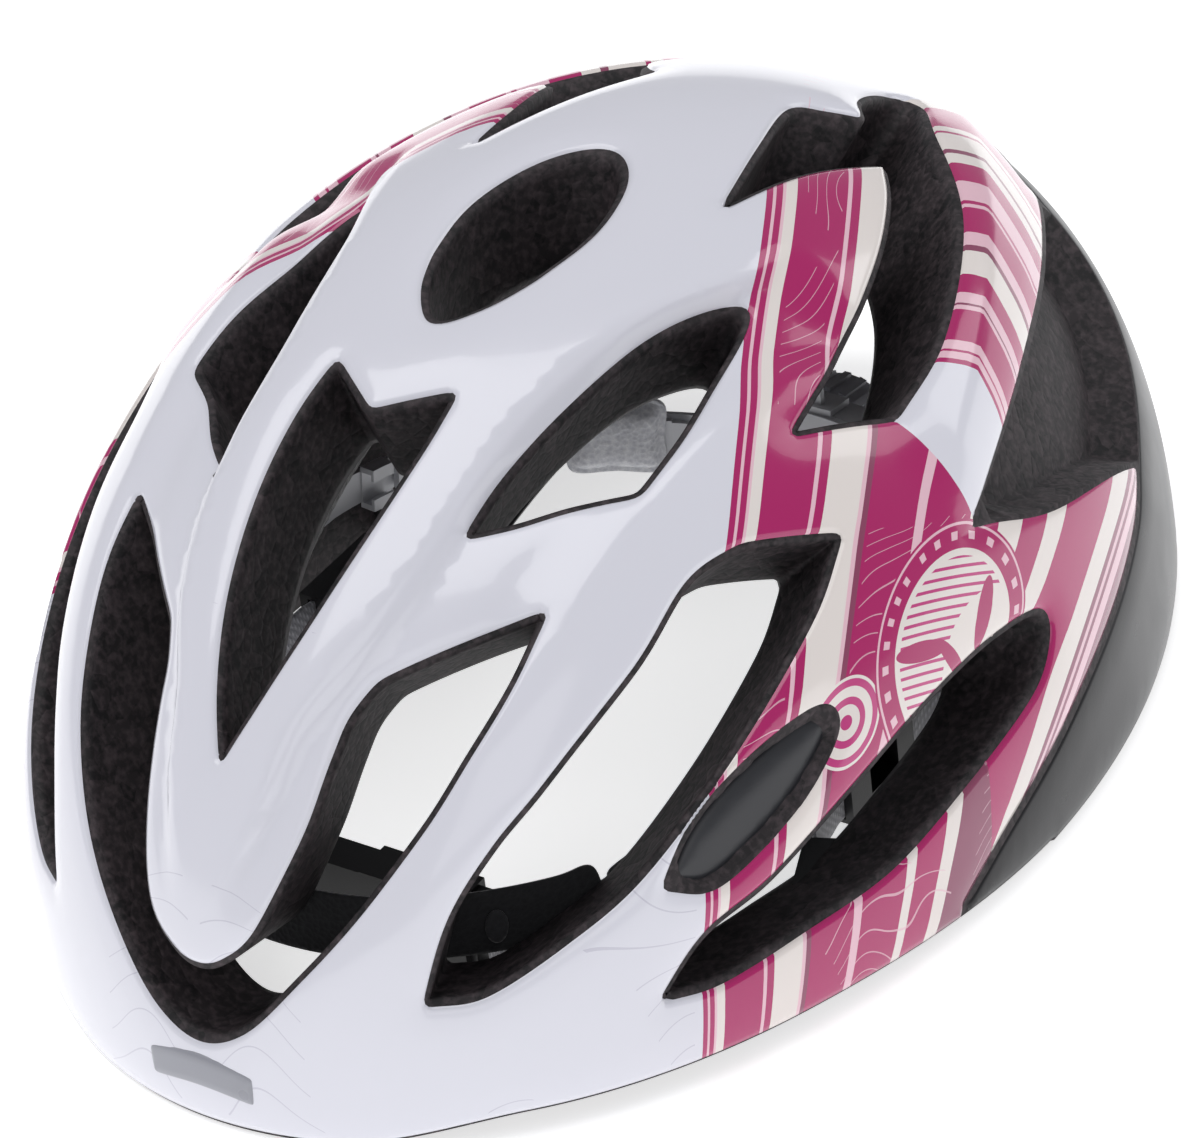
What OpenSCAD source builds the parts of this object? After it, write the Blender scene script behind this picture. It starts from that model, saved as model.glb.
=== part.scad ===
// Cycling helmet: in-moulded shells on a vented foam liner, with pads, webbing,
// a side-release buckle and a dial-adjusted retention ring.
// Front of the helmet faces -Y, the wearer's left is +X, the rim rests on z = 0.

/* [Helmet body] */
// Half length of the outer surface, mm
half_len = 140; // [137:0.5:142]
// Half width of the outer surface, mm
half_wid = 101; // [99:0.5:103]
// Height of the outer surface above the rim, mm
dome_h = 121; // [118:0.5:124]
// Roundness exponent of the dome (2 = ellipsoid)
dome_m = 2.27; // [2.15:0.01:2.4]
// Thickness of the moulded shells, mm
shell_t = 1.4; // [1:0.1:1.8]

/* [Retention] */
// Pitch angle of the retention ring, rear end low, degrees
ring_pitch = 9; // [8.5:0.1:9.5]
// Radius of the dial knob, mm
knob_r = 12; // [10.5:0.5:12.5]
// Ribs around the knob grip
knob_ribs = 20; // [12:1:28]
// Depth of the soft pads, mm
pad_t = 5; // [3:0.5:6]

/* [Webbing] */
// Width of the webbing, mm
web_w = 14; // [11:0.5:14]
// Thickness of the webbing, mm
web_t = 1.2; // [0.8:0.1:1.4]

/* [Hidden] */
$fn = 48;

dome_y = -2;              // fore-aft centre of the outer surface
cave_len = 110;           // head cavity half length
cave_wid = 79;            // head cavity half width
cave_h = 97;              // head cavity height
cave_y = -8;              // head cavity fore-aft centre
ring_n = 48;              // meridians of a dome
row_n = 14;               // parallels of a dome
seam = 0.05;              // gap between a shell and the foam behind it

// Every vent is a row of stations; a station is a pair of points on the dome.
// A point is [u, v] in degrees of arc from the crown: u to the left, v to the rear.
star_vent = [[[0, -23], [7.5, -20]], [[0, -29], [8, -29]], [[0, -38], [7, -38]],
    [[0, -49], [4, -49]], [[0, -57], [0.4, -56]]];
crown_vent = [[[0, -14], [0.4, -13.8]], [[0, -9], [4.5, -9]], [[0, -3], [6, -3]],
    [[0, 2], [5, 2]], [[0, 6], [0.4, 5.8]]];
front_vent = [[[28, -34], [28.6, -34]], [[21, -40], [29, -40]], [[15, -46], [28, -47]],
    [[13, -54], [27, -55]], [[12, -64], [22, -66]], [[8, -72], [16, -74]],
    [[4, -75], [8, -81]], [[0, -76], [0, -83]]];
brow_vent = [[[22.5, -1], [24, -1.4]], [[18, -9], [27, -10]], [[17, -17], [29, -19]],
    [[16, -25], [25, -24.5]], [[16, -31], [17, -30.4]]];
side_vent = [[[33, -69.7], [34.2, -70.1]], [[33.2, -62], [41, -65.8]], [[37, -48], [51, -49]],
    [[39, -33], [53, -35]], [[38, -23], [52, -21]], [[41, -19], [48, -12]]];
low_vent = [[[60, -54.4], [61.4, -55.4]], [[61.5, -48], [66, -49]], [[65, -39], [71, -39]],
    [[66, -26], [76, -27]], [[67, -14], [77, -13]], [[69, -1], [76, 0]], [[70, 6], [72, 5]]];
elbow_vent = [[[14, 5], [13.6, 6]], [[17, 13], [10.5, 17]], [[20, 20.5], [9, 23]],
    [[21, 22], [14, 28]], [[23, 21], [12, 38]], [[25, 18], [20, 33]], [[30, 11], [32, 23]],
    [[34, 1], [41, 10]], [[37, -9], [44, 0]]];
rear_vent = [[[8.6, 55.2], [25, 53.4]], [[11, 63], [31, 60]], [[14, 70], [35, 66]],
    [[20, 75], [33, 73]]];
// Blind dish between the side vent and the low vent
dish = [[[54, -47], [55, -47.6]], [[53.5, -41], [59.5, -43]], [[55.5, -32], [62, -33]],
    [[58, -24], [60.6, -24.6]]];
// Open channel between the rear rib and the striped side panel
channel = [[[58, 1], [58.6, 1.6]], [[50, 16], [62, 13]], [[42, 30], [63, 25]],
    [[30, 47], [63, 36]]];
// Zone of the black rear and lower shell, from its upper edge to past the rim
rear_zone = [[[0, 50], [0, 98]], [[18, 46], [33, 93]], [[30, 47], [52, 84]],
    [[63, 36], [80, 58]], [[69, 31], [85, 49]], [[76, 19], [94, 29]], [[83, 1], [98, 3]],
    [[85, -13], [98, -15]], [[89, -30], [97, -33]]];

centre_y = 3.12;          // puts the finished outline's middle on the origin
pin_y = -50;              // temple pivot axis
pin_z = 34;
pin_x = 64.5;             // half distance between the temple arms
arc_s = 56;               // centre of the ring's rear arc, behind the pivot axis
frame_r = 69.8;           // inner radius of the ring frame's arc
frame_t = 1.2;
frame_h = 3.5;            // half height of the ring frame
band_r = 67.4;            // inner radius of the adjusting bands
band_t = 1.6;
band_h = 3;               // half height of the adjusting bands
pitch_r = 5;              // pitch radius of the pinion
tooth_n = 10;
rack_step = 360 * pitch_r / tooth_n / (band_r + band_t / 2);
house_a = 13;             // half angle of the dial housing
post_r = 124;             // radius of the height post about the temple axis
web_z = 4;                // lower edge of the stowed webbing
buckle_y = -84;
buckle_z = web_z + web_w / 2;
div_x = 61;               // divider centre
lever_at = [55.9, 4.2];   // divider lever hinge

white = [0.93, 0.93, 0.95];
black = [0.07, 0.07, 0.08];
foam = [0.12, 0.12, 0.13];
pale = [0.8, 0.8, 0.82];

// ---- surfaces -------------------------------------------------------------

// Point [u, v] on a dome of half length a, half width b, height h, centre y0
function dome_at(u, v, a, b, h, y0) =
    let (r = max(norm([u, v]), 0.001), q = pow(sin(min(r, 90)), 2 / dome_m),
         z = r < 90 ? h * pow(cos(r), 2 / dome_m) : -2 * (r - 90))
    [b * q * u / r, y0 + a * q * v / r, z];
function outside(p, d) =
    dome_at(p[0], p[1], half_len - d, half_wid - d, dome_h - d, dome_y);
function inside(p, d) =
    dome_at(p[0], p[1], cave_len - d, cave_wid - d, cave_h - d, cave_y);
function mix(p, q, t) = p + (q - p) * t;
function flip(st) = [for (s = st) [for (p = s) [-p[0], p[1]]]];
function curve(c, t) =
    pow(1 - t, 3) * c[0] + 3 * t * pow(1 - t, 2) * c[1] + 3 * t * t * (1 - t) * c[2]
    + pow(t, 3) * c[3];

module dome(a, b, h, y0, low) {
    turn = [for (i = [0:ring_n - 1]) 360 * i / ring_n];
    rows = [for (j = [1:row_n]) 90 * j / row_n];
    rim = [for (t = turn) dome_at(90 * cos(t), 90 * sin(t), a, b, h, y0) - [0, 0, low]];
    pts = concat([[0, y0, h]],
        [for (r = rows) for (t = turn) dome_at(r * cos(t), r * sin(t), a, b, h, y0)], rim);
    cap = [for (i = [0:ring_n - 1]) [0, 1 + (i + 1) % ring_n, 1 + i]];
    last = low > 0 ? row_n : row_n - 1;
    wall = [for (j = [0:last - 1]) for (i = [0:ring_n - 1])
        let (k = (i + 1) % ring_n, p = 1 + j * ring_n, q = p + ring_n)
        each [[p + i, p + k, q + k], [p + i, q + k, q + i]]];
    base = [[for (i = [0:ring_n - 1]) 1 + last * ring_n + i]];
    used = [for (i = [0:(last + 1) * ring_n]) pts[i]];
    polyhedron(used, concat(cap, wall, base));
}

// Solid between two offsets of a surface, over a row of stations, k cells across
module slab(st, k, d0, d1, cavity) {
    n = len(st);
    m = k + 1;
    turned = cross(st[1][0] - st[0][0], st[0][1] - st[0][0]) > 0;
    side = [for (d = turned ? [d1, d0] : [d0, d1]) for (s = st) for (j = [0:k])
        let (p = mix(s[0], s[1], j / k)) cavity ? inside(p, d) : outside(p, d)];
    h = n * m;
    skin = [for (i = [0:n - 2]) for (j = [0:k - 1]) let (a = i * m + j, b = a + m)
        each [[a, a + 1, b + 1], [a, b + 1, b],
              [h + a, h + b + 1, h + a + 1], [h + a, h + b, h + b + 1]]];
    ends = [for (j = [0:k - 1]) let (b = (n - 1) * m + j)
        each [[j, h + j, h + j + 1], [j, h + j + 1, j + 1],
              [b, b + 1, h + b + 1], [b, h + b + 1, h + b]]];
    edges = [for (i = [0:n - 2]) let (a = i * m, b = a + m, e = a + k, f = b + k)
        each [[a, b, h + b], [a, h + b, h + a], [e, h + e, h + f], [e, h + f, f]]];
    polyhedron(side, concat(skin, ends, edges));
}

// Cutter through the wall along a row of stations, k cells across, down to the
// head cavity or, where `floor` is given, to that depth below the outer surface
module cut(st, floor, k) {
    for (i = [0:len(st) - 2], j = [0:k - 1]) {
        q = [for (e = [[i, j], [i, j + 1], [i + 1, j + 1], [i + 1, j]])
            mix(st[e[0]][0], st[e[0]][1], e[1] / k)];
        top = [for (p = q) outside(p, -9)];
        low = [for (p = q) floor > 0 ? outside(p, floor) : inside(p, 12)];
        hull() polyhedron(concat(top, low), [[0, 1, 2, 3], [7, 6, 5, 4],
            [0, 4, 5, 1], [1, 5, 6, 2], [2, 6, 7, 3], [3, 7, 4, 0]]);
    }
}

module both_cut(st, floor, k = 1) {
    cut(st, floor, k);
    cut(flip(st), floor, k);
}

module vents() {
    for (st = [star_vent, crown_vent, front_vent, brow_vent, side_vent, low_vent,
               elbow_vent, rear_vent]) both_cut(st, 0);
}

// Raised rear rim with the arch over the dial
module rear_relief() {
    translate([0, 150, -62]) rotate([0, 90, 0]) cylinder(r = 85, h = 260, center = true, $fn = 96);
    hull() {
        translate([0, 88, 22]) rotate([-90, 0, 0]) cylinder(r = 25, h = 1, $fn = 32);
        translate([0, 142, -7]) rotate([-90, 0, 0]) cylinder(r = 25, h = 1, $fn = 32);
    }
}

module skin() {
    difference() {
        dome(half_len, half_wid, dome_h, dome_y, 0);
        dome(half_len - shell_t, half_wid - shell_t, dome_h - shell_t, dome_y, 2);
    }
}

// ---- shells, liner and pads ------------------------------------------------

module upper_shell() {
    color(white) difference() {
        skin();
        vents();
        both_cut(dish, 12);
        both_cut(channel, 12);
        both_cut(rear_zone, 12, 4);
        rear_relief();
    }
}

module lower_shell() {
    color(black) difference() {
        intersection() {
            skin();
            both_cut([for (s = rear_zone) [s[0] * 1.006, s[1]]], 12, 4);
        }
        vents();
        rear_relief();
    }
}

module foam_liner() {
    gap = shell_t + seam;
    color(foam) difference() {
        dome(half_len - gap, half_wid - gap, dome_h - gap, dome_y, 0);
        dome(cave_len, cave_wid, cave_h, cave_y, 2);
        vents();
        both_cut(dish, 6);
        both_cut(channel, 9);
        rear_relief();
        translate([0, 75, -5]) scale([74, 58, 38]) sphere(1);
        for (m = [-1, 1]) {
            translate([m * 60, pin_y, pin_z]) rotate([0, m * 90, 0]) cylinder(r = 7.5, h = 9);
            translate([m * 60, pin_y, pin_z]) rotate([0, m * 90, 0]) cylinder(r = 2.6, h = 17);
        }
        for (p = anchor_spots()) at_anchor(p) anchor_block(0.15);
        translate([-8, 70, 53]) cube([16, 26, 10.6]);
    }
}

module side_inserts() {
    color(black) for (st = [dish, flip(dish)])
        slab([for (s = st) [mix(s[0], s[1], 0.05), mix(s[0], s[1], 0.95)]], 3, 2.4, 5.6, false);
}

module front_badge() {
    color(pale) slab([for (i = [-4:4]) [[i * 2.6, -84], [i * 2.6, -87.5]]], 2, -0.9, -0.05, false);
}

function arc_rows(a0, a1, n, r0, r1) =
    [for (i = [0:n]) let (a = a0 + (a1 - a0) * i / n)
        [[r0 * cos(a), r0 * sin(a)], [r1 * cos(a), r1 * sin(a)]]];

module pad(st, k) {
    slab(st, k, 1, 1 + pad_t, true);
}

module brow_pad() {
    color(black) pad(arc_rows(-136, -44, 16, 70.5, 78.5), 2);
}

crown_rows = [[[9.5, -44], [14, -40]], [[9.5, -32], [15, -32]], [[9.5, -20], [15.5, -20]],
    [[9.5, -8], [15.5, -8]], [[9.5, 2], [13, 2]]];
nape_rows = [[[-5, 10], [5, 10]], [[-7, 18], [7, 18]], [[-7, 28], [7, 28]],
    [[-8, 36], [8, 36]]];
side_rows = [[[55.5, -26], [60, -27]], [[55.5, -19], [63, -19]], [[55, -10], [64, -10]],
    [[56, 0], [65, 0]], [[57.5, 9], [63, 9]]];

module crown_pads() {
    color(black) {
        pad(crown_rows, 2);
        pad(flip(crown_rows), 2);
        pad(nape_rows, 2);
    }
}

module side_pads() {
    color(black) {
        pad(side_rows, 2);
        pad(flip(side_rows), 2);
    }
}

module hook_dots() {
    spots = [[-74, -28], [74, -28], [0, -75], [-39, -64], [39, -64], [12, -36], [-12, -36],
        [12, -4], [-12, -4], [0, 15], [0, 32], [59, -20], [-59, -20], [60, 0], [-60, 0]];
    color(pale) for (p = [for (s = spots) if (norm(s) < 78.5) s])
        slab([for (i = [-1:1]) [p + [i * 1.9, -2], p + [i * 1.9, 2]]], 2, 0.47, 0.95, true);
}

// ---- webbing ----------------------------------------------------------------

function anchor_spots() = [[74.6, -47, 22], [74.2, 31, 4]];

module at_anchor(p) {
    for (m = [0, 1]) mirror([m, 0, 0]) translate([p[0], p[1], web_z - 1.4]) rotate([0, 0, p[2]])
        children();
}

module anchor_block(grow) {
    translate([-3 - grow, -7 - grow, -grow])
        cube([6 + 2 * grow, 14 + 2 * grow, web_w + 2.8 + 2 * grow]);
}

module strap_anchors() {
    color(black) for (i = [0, 1]) at_anchor(anchor_spots()[i]) difference() {
        anchor_block(0);
        translate([-4, i == 0 ? -3 : -8, 1.1]) cube([4.2, 11, web_w + 0.6]);
        translate([1.2, -4, 3]) cube([3, 8, web_w - 3.2]);
    }
}

// Upright ribbon along a plan curve, from t0 to t1, of half thickness w
module ribbon(c, t0, t1, w, z0, z1) {
    n = 14;
    ts = [for (i = [0:n]) t0 + (t1 - t0) * i / n];
    side = function (t, d) let (q = curve(c, t + 0.01) - curve(c, t - 0.01))
        curve(c, t) + d * [-q[1], q[0]] / norm(q);
    translate([0, 0, z0]) linear_extrude(z1 - z0)
        polygon(concat([for (t = ts) side(t, w)], [for (i = [n:-1:0]) side(ts[i], -w)]));
}

module web(c, m) {
    color(white) mirror([m, 0, 0]) ribbon(c, 0, 1, web_t / 2, web_z, web_z + web_w);
}

front_path = [[72.4, -44.6], [67, -36], [61.5, -30], [61, -13.6]];
rear_path = [[72.6, 27], [72, 19], [61.5, 18], [61, 3.6]];
chin_path_left = [[59, -13], [40, -14], [52, -72], [29.6, -80.4]];
chin_path_right = [[-59, -13], [-46, -14], [-62, -72], [-29.6, -80.4]];

module front_web_left() { web(front_path, 0); }
module front_web_right() { web(front_path, 1); }
module rear_web_left() { web(rear_path, 0); }
module rear_web_right() { web(rear_path, 1); }
module chin_strap_left() { web(chin_path_left, 0); }
module chin_strap_right() { web(chin_path_right, 0); }

module sleeve(c, t0, t1, w) {
    difference() {
        ribbon(c, t0, t1, w, web_z - w / 2, web_z + web_w + w / 2);
        ribbon(c, t0 - 0.02, t1 + 0.02, web_t / 2 + 0.3, web_z - 0.3, web_z + web_w + 0.3);
    }
}

module chin_pad() { color(black) sleeve(chin_path_left, 0.4, 0.74, 3); }

module keeper_rings() {
    color(black) {
        sleeve(chin_path_left, 0.2, 0.25, 1.7);
        sleeve(chin_path_right, 0.74, 0.79, 1.7);
    }
}

module divider(m) {
    h = web_w + 2.4;
    color(black) mirror([m, 0, 0]) translate([0, 0, web_z - 1.2]) {
        difference() {
            translate([div_x - 2.8, -17, 0]) cube([5.6, 23, h]);
            for (y = [-17.1, 2.9]) translate([div_x - 0.9, y, 0.9]) cube([1.8, 4.2, web_w + 0.6]);
            translate([div_x - 3, -13.9, 0.9]) cube([1.9, 1.8, web_w + 0.6]);
            translate([div_x - 0.9, -10, 3]) cube([4, 10, h - 6]);
        }
        for (z = [0, h - 2]) translate([0, 0, z]) difference() {
            hull() {
                translate([div_x - 3, lever_at[1] - 1.8, 0]) cube([0.4, 3.6, 2]);
                translate([lever_at[0], lever_at[1], 0]) cylinder(r = 1.8, h = 2);
            }
            translate([lever_at[0], lever_at[1], -1]) cylinder(r = 1.15, h = 4);
        }
    }
}

module divider_left() { divider(0); }
module divider_right() { divider(1); }

module lever(m) {
    color(pale) mirror([m, 0, 0]) translate([lever_at[0], lever_at[1], web_z + 1.2]) {
        cylinder(r = 1.6, h = web_w - 2.4);
        translate([0, 0, -1.8]) cylinder(r = 0.85, h = web_w + 1.2);
        translate([-1.6, -12, 0]) cube([2.2, 12, web_w - 2.4]);
        translate([-2.4, -12, 0]) cube([1.2, 2, web_w - 2.4]);
    }
}

module lever_left() { lever(0); }
module lever_right() { lever(1); }

// ---- side-release buckle, inserted along X -----------------------------------

module at_buckle() {
    translate([0, buckle_y, buckle_z]) children();
}

module block(x0, x1, y, z) {
    translate([x0, -y, -z]) cube([x1 - x0, 2 * y, 2 * z]);
}

module buckle_female() {
    color(black) at_buckle() difference() {
        union() {
            block(0.4, 23, 4.4, 10.4);
            difference() {
                block(22, 34, 3, 9.6);
                block(24.6, 32, 4, 7.6);
            }
            translate([30, 1.1, -8]) cube([2.4, 1.9, 16]);
        }
        block(-1, 20, 2.6, 7.7);
        for (m = [0, 1]) mirror([0, 0, m]) translate([7.4, -2.6, 7]) cube([10.2, 5.2, 5]);
        translate([10, 3, -2]) cube([8, 3, 4]);
    }
}

module prong() {
    translate([-6, -2.1, 4.6]) cube([16, 4.2, 2]);
    translate([8, -2.1, 4.6]) cube([9, 4.2, 2.9]);
}

module buckle_male() {
    color(black) at_buckle() union() {
        block(-22, 0.1, 3.8, 9.6 - 0.01);
        translate([-0.1, -1.6, -1.8]) cube([17, 3.2, 3.6]);
        for (m = [0, 1]) mirror([0, 0, m]) prong();
        difference() {
            block(-33, -21.9, 3, 9.6);
            block(-31, -24.6, 4, 7.6);
            translate([-34, -1, -7.6]) cube([4, 2, 15.2]);
        }
    }
}

// ---- retention ring, drawn in the plane of the ring ---------------------------

module on_ring() {
    translate([0, pin_y, pin_z]) rotate([-ring_pitch, 0, 0]) children();
}

// Block of a ring about the arc centre; angles count from the rear towards the left
module sector(r0, r1, a0, a1, z0, z1) {
    translate([0, arc_s, 0]) rotate([0, 0, 90 - a1]) rotate_extrude(angle = a1 - a0, $fn = 120)
        translate([r0, z0]) square([r1 - r0, z1 - z0]);
}

module radial(r, h, s) {
    translate([0, arc_s + s, 0]) rotate([-90, 0, 0]) cylinder(r = r, h = h);
}

module guide_clip(a0, a1) {
    difference() {
        sector(66.2, frame_r + 0.1, a0, a1, -4.6, 4.6);
        sector(66.9, frame_r - 0.4, a0 - 1, a1 + 1, -3.4, 3.4);
        sector(65, 67, a0 - 1, a1 + 1, -2, 2);
    }
}

module ring_frame() {
    color(pale) on_ring() difference() {
        union() {
            sector(frame_r, frame_r + frame_t, -90, 90, -frame_h, frame_h);
            sector(frame_r + 0.02, frame_r + frame_t - 0.02, -6, 6, -5.4, 5.4);
            for (m = [0, 1]) mirror([m, 0, 0]) {
                for (a = [52, 78]) guide_clip(a, a + 5);
                translate([frame_r + frame_t / 2, arc_s, -frame_h])
                    rotate([0, 0, -90 - atan((frame_r + 0.6 - pin_x) / arc_s)])
                    translate([0, -frame_t / 2, 0]) cube([arc_s + 0.6, frame_t, 2 * frame_h]);
                translate([pin_x - 1, 0, 0]) rotate([0, 90, 0]) cylinder(r = 6, h = 2.4);
            }
        }
        for (m = [-1, 1]) translate([m * (pin_x - 4), 0, 0]) rotate([0, m * 90, 0])
            cylinder(r = 2.8, h = 10);
        radial(3.6, 5, 68);
        for (m = [-1, 1]) translate([m * 12, 0, 0]) radial(1.5, 6, 66);
    }
}

module temple_pins() {
    color(pale) for (m = [0, 1]) mirror([m, 0, 0])
        translate([pin_x - 4, pin_y, pin_z]) rotate([0, 90, 0]) {
            cylinder(r = 4.6, h = 1.8);
            cylinder(r = 2.4, h = 16);
            translate([0, 0, 6.4]) cylinder(r = 6, h = 1.6);
        }
}

module dial_housing() {
    color(pale) on_ring() difference() {
        union() {
            sector(frame_r + frame_t + 0.3, 74, -house_a, house_a, -11, 11);
            for (z = [-11, 9.4]) sector(66.7, 74, -house_a, house_a, z, z + 1.6);
            radial(8.8, 2.6, 72);
        }
        radial(3.3, 8, 70);
        for (m = [-1, 1]) translate([m * 12, 0, 0]) radial(1.15, 4, 70);
    }
}

module housing_cover() {
    color(pale) on_ring() difference() {
        sector(64.8, 66.5, -house_a, house_a, -11, 11);
        for (m = [-1, 1]) translate([m * 12, 0, 0]) radial(1.5, 5, 63);
    }
}

module housing_screws() {
    color(pale) on_ring() for (m = [-1, 1]) translate([m * 12, 0, 0]) difference() {
        union() {
            radial(1.05, 8.8, 63.2);
            radial(2.4, 1, 62.2);
        }
        translate([-2, arc_s + 62.1, -0.3]) cube([4, 0.5, 0.6]);
    }
}

module height_post() {
    color(pale) on_ring() {
        translate([-7, 121.4, 11.1]) cube([14, 7.2, 1.4]);
        rotate([90, 0, 90]) translate([0, 0, -4]) rotate([0, 0, 5.7])
            rotate_extrude(angle = 15.6, $fn = 180) translate([post_r - 0.7, 0]) square([1.4, 8]);
    }
}

// Loop on the liner that the height post slides through
module rear_guide() {
    color(black) translate([0, pin_y, pin_z]) difference() {
        rotate([90, 0, 90]) translate([0, 0, -7]) rotate([0, 0, 9.6])
            rotate_extrude(angle = 2.6, $fn = 180) translate([post_r - 2.8, 0]) square([15.4, 14]);
        rotate([90, 0, 90]) translate([0, 0, -4.6]) rotate([0, 0, 8])
            rotate_extrude(angle = 6, $fn = 180) translate([post_r - 1.4, 0]) square([2.8, 9.2]);
    }
}

module detent_spring() {
    color(pale) on_ring() translate([0, arc_s + 74.8, 0]) rotate([-90, 0, 0]) {
        difference() {
            cylinder(r = 7.2, h = 2.4);
            translate([0, 0, -1]) cylinder(r = 6.2, h = 5);
            translate([1, -8, -1]) cube([8, 9, 5]);
        }
        translate([-0.8, 7, 0]) cube([1.6, 1.3, 2.4]);
    }
}

module dial_knob() {
    color(pale) on_ring() translate([0, arc_s, 0]) difference() {
        union() {
            translate([0, 74.9, 0]) rotate([-90, 0, 0]) cylinder(r = knob_r - 0.8, h = 9.6);
            for (i = [0:knob_ribs - 1]) rotate([0, 360 * i / knob_ribs, 0])
                translate([-0.8, 75.2, knob_r - 1.6]) cube([1.6, 8.6, 1.6]);
        }
        translate([0, 74.8, 0]) rotate([-90, 0, 0]) cylinder(r = 9.2, h = 3.4);
        translate([0, 74, 0]) rotate([-90, 0, 0]) cylinder(r = 2.9, h = 8);
        translate([0, 92.4, 0]) sphere(r = 11);
    }
}

module dial_pinion() {
    tip = pitch_r + 0.75;
    root = pitch_r - 1.15;
    color(pale) on_ring() {
        translate([0, arc_s + 69.1, 0]) rotate([90, 0, 0]) linear_extrude(1.7) union() {
            circle(r = root);
            for (i = [0:tooth_n - 1]) rotate(360 * (i + 0.5) / tooth_n + 90)
                polygon([[root - 0.4, -0.85], [tip, -0.35], [tip, 0.35], [root - 0.4, 0.85]]);
        }
        radial(2.75, 13.2, 69);
    }
}

module band(m) {
    color(pale) on_ring() rotate([0, 180 * m, 0]) {
        sector(band_r, band_r + band_t, 25, 76, -band_h, band_h);
        sector(band_r + 0.1, band_r + band_t - 0.1, 22, 28, -band_h + 0.4, 8.7);
        sector(band_r + 0.2, band_r + band_t - 0.2, -14, 25, 6.2, 8.4);
        for (i = [-5:8]) translate([0, arc_s, 0]) rotate([0, 0, -i * rack_step])
            translate([0, band_r + band_t - 0.35, 0]) rotate([90, 0, 0])
            linear_extrude(band_t - 0.7)
            polygon([[-0.95, 6.7], [-0.35, 4.3], [0.35, 4.3], [0.95, 6.7]]);
    }
}

module band_left() { band(0); }
module band_right() { band(1); }

module cradle_pad(m) {
    color(black) on_ring() rotate([0, 180 * m, 0])
        sector(band_r - 0.15 - pad_t + 1, band_r - 0.15, 26, 43.5, -8, 8);
}

module cradle_pad_left() { cradle_pad(0); }
module cradle_pad_right() { cradle_pad(1); }

translate([0, centre_y, 0]) {
    upper_shell();
    lower_shell();
    foam_liner();
    side_inserts();
    front_badge();
    brow_pad();
    crown_pads();
    side_pads();
    hook_dots();
    temple_pins();
    rear_guide();
    strap_anchors();
    front_web_left();
    front_web_right();
    rear_web_left();
    rear_web_right();
    divider_left();
    divider_right();
    lever_left();
    lever_right();
    chin_strap_left();
    chin_strap_right();
    chin_pad();
    keeper_rings();
    buckle_female();
    buckle_male();
    ring_frame();
    dial_housing();
    housing_cover();
    height_post();
    housing_screws();
    detent_spring();
    dial_knob();
    dial_pinion();
    band_left();
    band_right();
    cradle_pad_left();
    cradle_pad_right();
}
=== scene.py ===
"""Cycling helmet: printed shells on a vented bead-foam liner, pads, webbing and dial."""
from __future__ import annotations

import logging
import math
from dataclasses import dataclass
from enum import Enum
from typing import Any, Callable, Iterable, Sequence

import bmesh
import bpy
import numpy as np
from mathutils import Matrix, Vector
from mathutils.geometry import delaunay_2d_cdt
from mathutils.kdtree import KDTree

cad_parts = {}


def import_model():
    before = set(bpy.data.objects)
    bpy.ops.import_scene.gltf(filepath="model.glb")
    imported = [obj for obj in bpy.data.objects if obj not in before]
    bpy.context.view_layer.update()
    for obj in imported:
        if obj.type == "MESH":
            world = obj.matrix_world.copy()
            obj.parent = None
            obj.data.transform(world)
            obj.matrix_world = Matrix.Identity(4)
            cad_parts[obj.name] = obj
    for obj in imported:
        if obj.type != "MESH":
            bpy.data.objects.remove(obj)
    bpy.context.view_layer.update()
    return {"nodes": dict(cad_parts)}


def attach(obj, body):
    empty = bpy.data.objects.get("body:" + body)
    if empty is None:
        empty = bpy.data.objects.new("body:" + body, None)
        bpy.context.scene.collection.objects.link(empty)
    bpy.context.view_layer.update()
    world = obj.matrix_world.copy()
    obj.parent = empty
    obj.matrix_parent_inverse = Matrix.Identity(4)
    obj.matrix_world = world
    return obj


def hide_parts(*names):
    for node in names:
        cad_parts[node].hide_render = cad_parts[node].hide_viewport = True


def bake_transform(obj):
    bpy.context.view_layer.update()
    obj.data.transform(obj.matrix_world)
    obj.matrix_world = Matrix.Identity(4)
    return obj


log = logging.getLogger("helmet")
MM = 0.001
#: Degrees of arc that the whole width of the "dome" UV map stands for.
UV_SPAN = 200.0
Array = np.ndarray
Tree, Node = bpy.types.NodeTree, bpy.types.Node
Outline = Sequence[Sequence[float]]
Place = Callable[[Array, Any], Array]


# ---- node and colour helpers -------------------------------------------------


def linear(code: str, gain: float = 1.0, offset: float = 0.0) -> tuple[float, ...]:
    """Turns an sRGB hex colour into linear RGBA, made darker or lighter by a gain and an offset."""
    parts = [int(code[i:i + 2], 16) / 255 for i in (1, 3, 5)]
    rgb = [c / 12.92 if c <= 0.04045 else ((c + 0.055) / 1.055) ** 2.4 for c in parts]
    return (*(min(1.0, c * gain + offset) for c in rgb), 1.0)


def feed(node: Node, key: Any, value: Any) -> None:
    """Links a signal to one of a node's inputs, or sets the input to a constant."""
    if isinstance(value, Signal):
        value.tree.links.new(value.socket, node.inputs[key])
    else:
        node.inputs[key].default_value = value


def add(tree: Tree, kind: str, inputs: dict[Any, Any] | None = None,
        output: Any = 0, **settings: Any) -> Signal:
    """Adds one node with its settings, links and constants.

    Args:
        tree: The node tree to add to.
        kind: Blender's node type.
        inputs: Socket name or index to a value or to the signal that feeds it.
        output: Name or index of the output that is wanted.
        settings: Node properties.
    Returns:
        That output.
    """
    made = tree.nodes.new("ShaderNode" + kind)
    for name, value in settings.items():
        setattr(made, name, value)
    for key, value in (inputs or {}).items():
        feed(made, key, value)
    return Signal(made.outputs[output])


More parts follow.
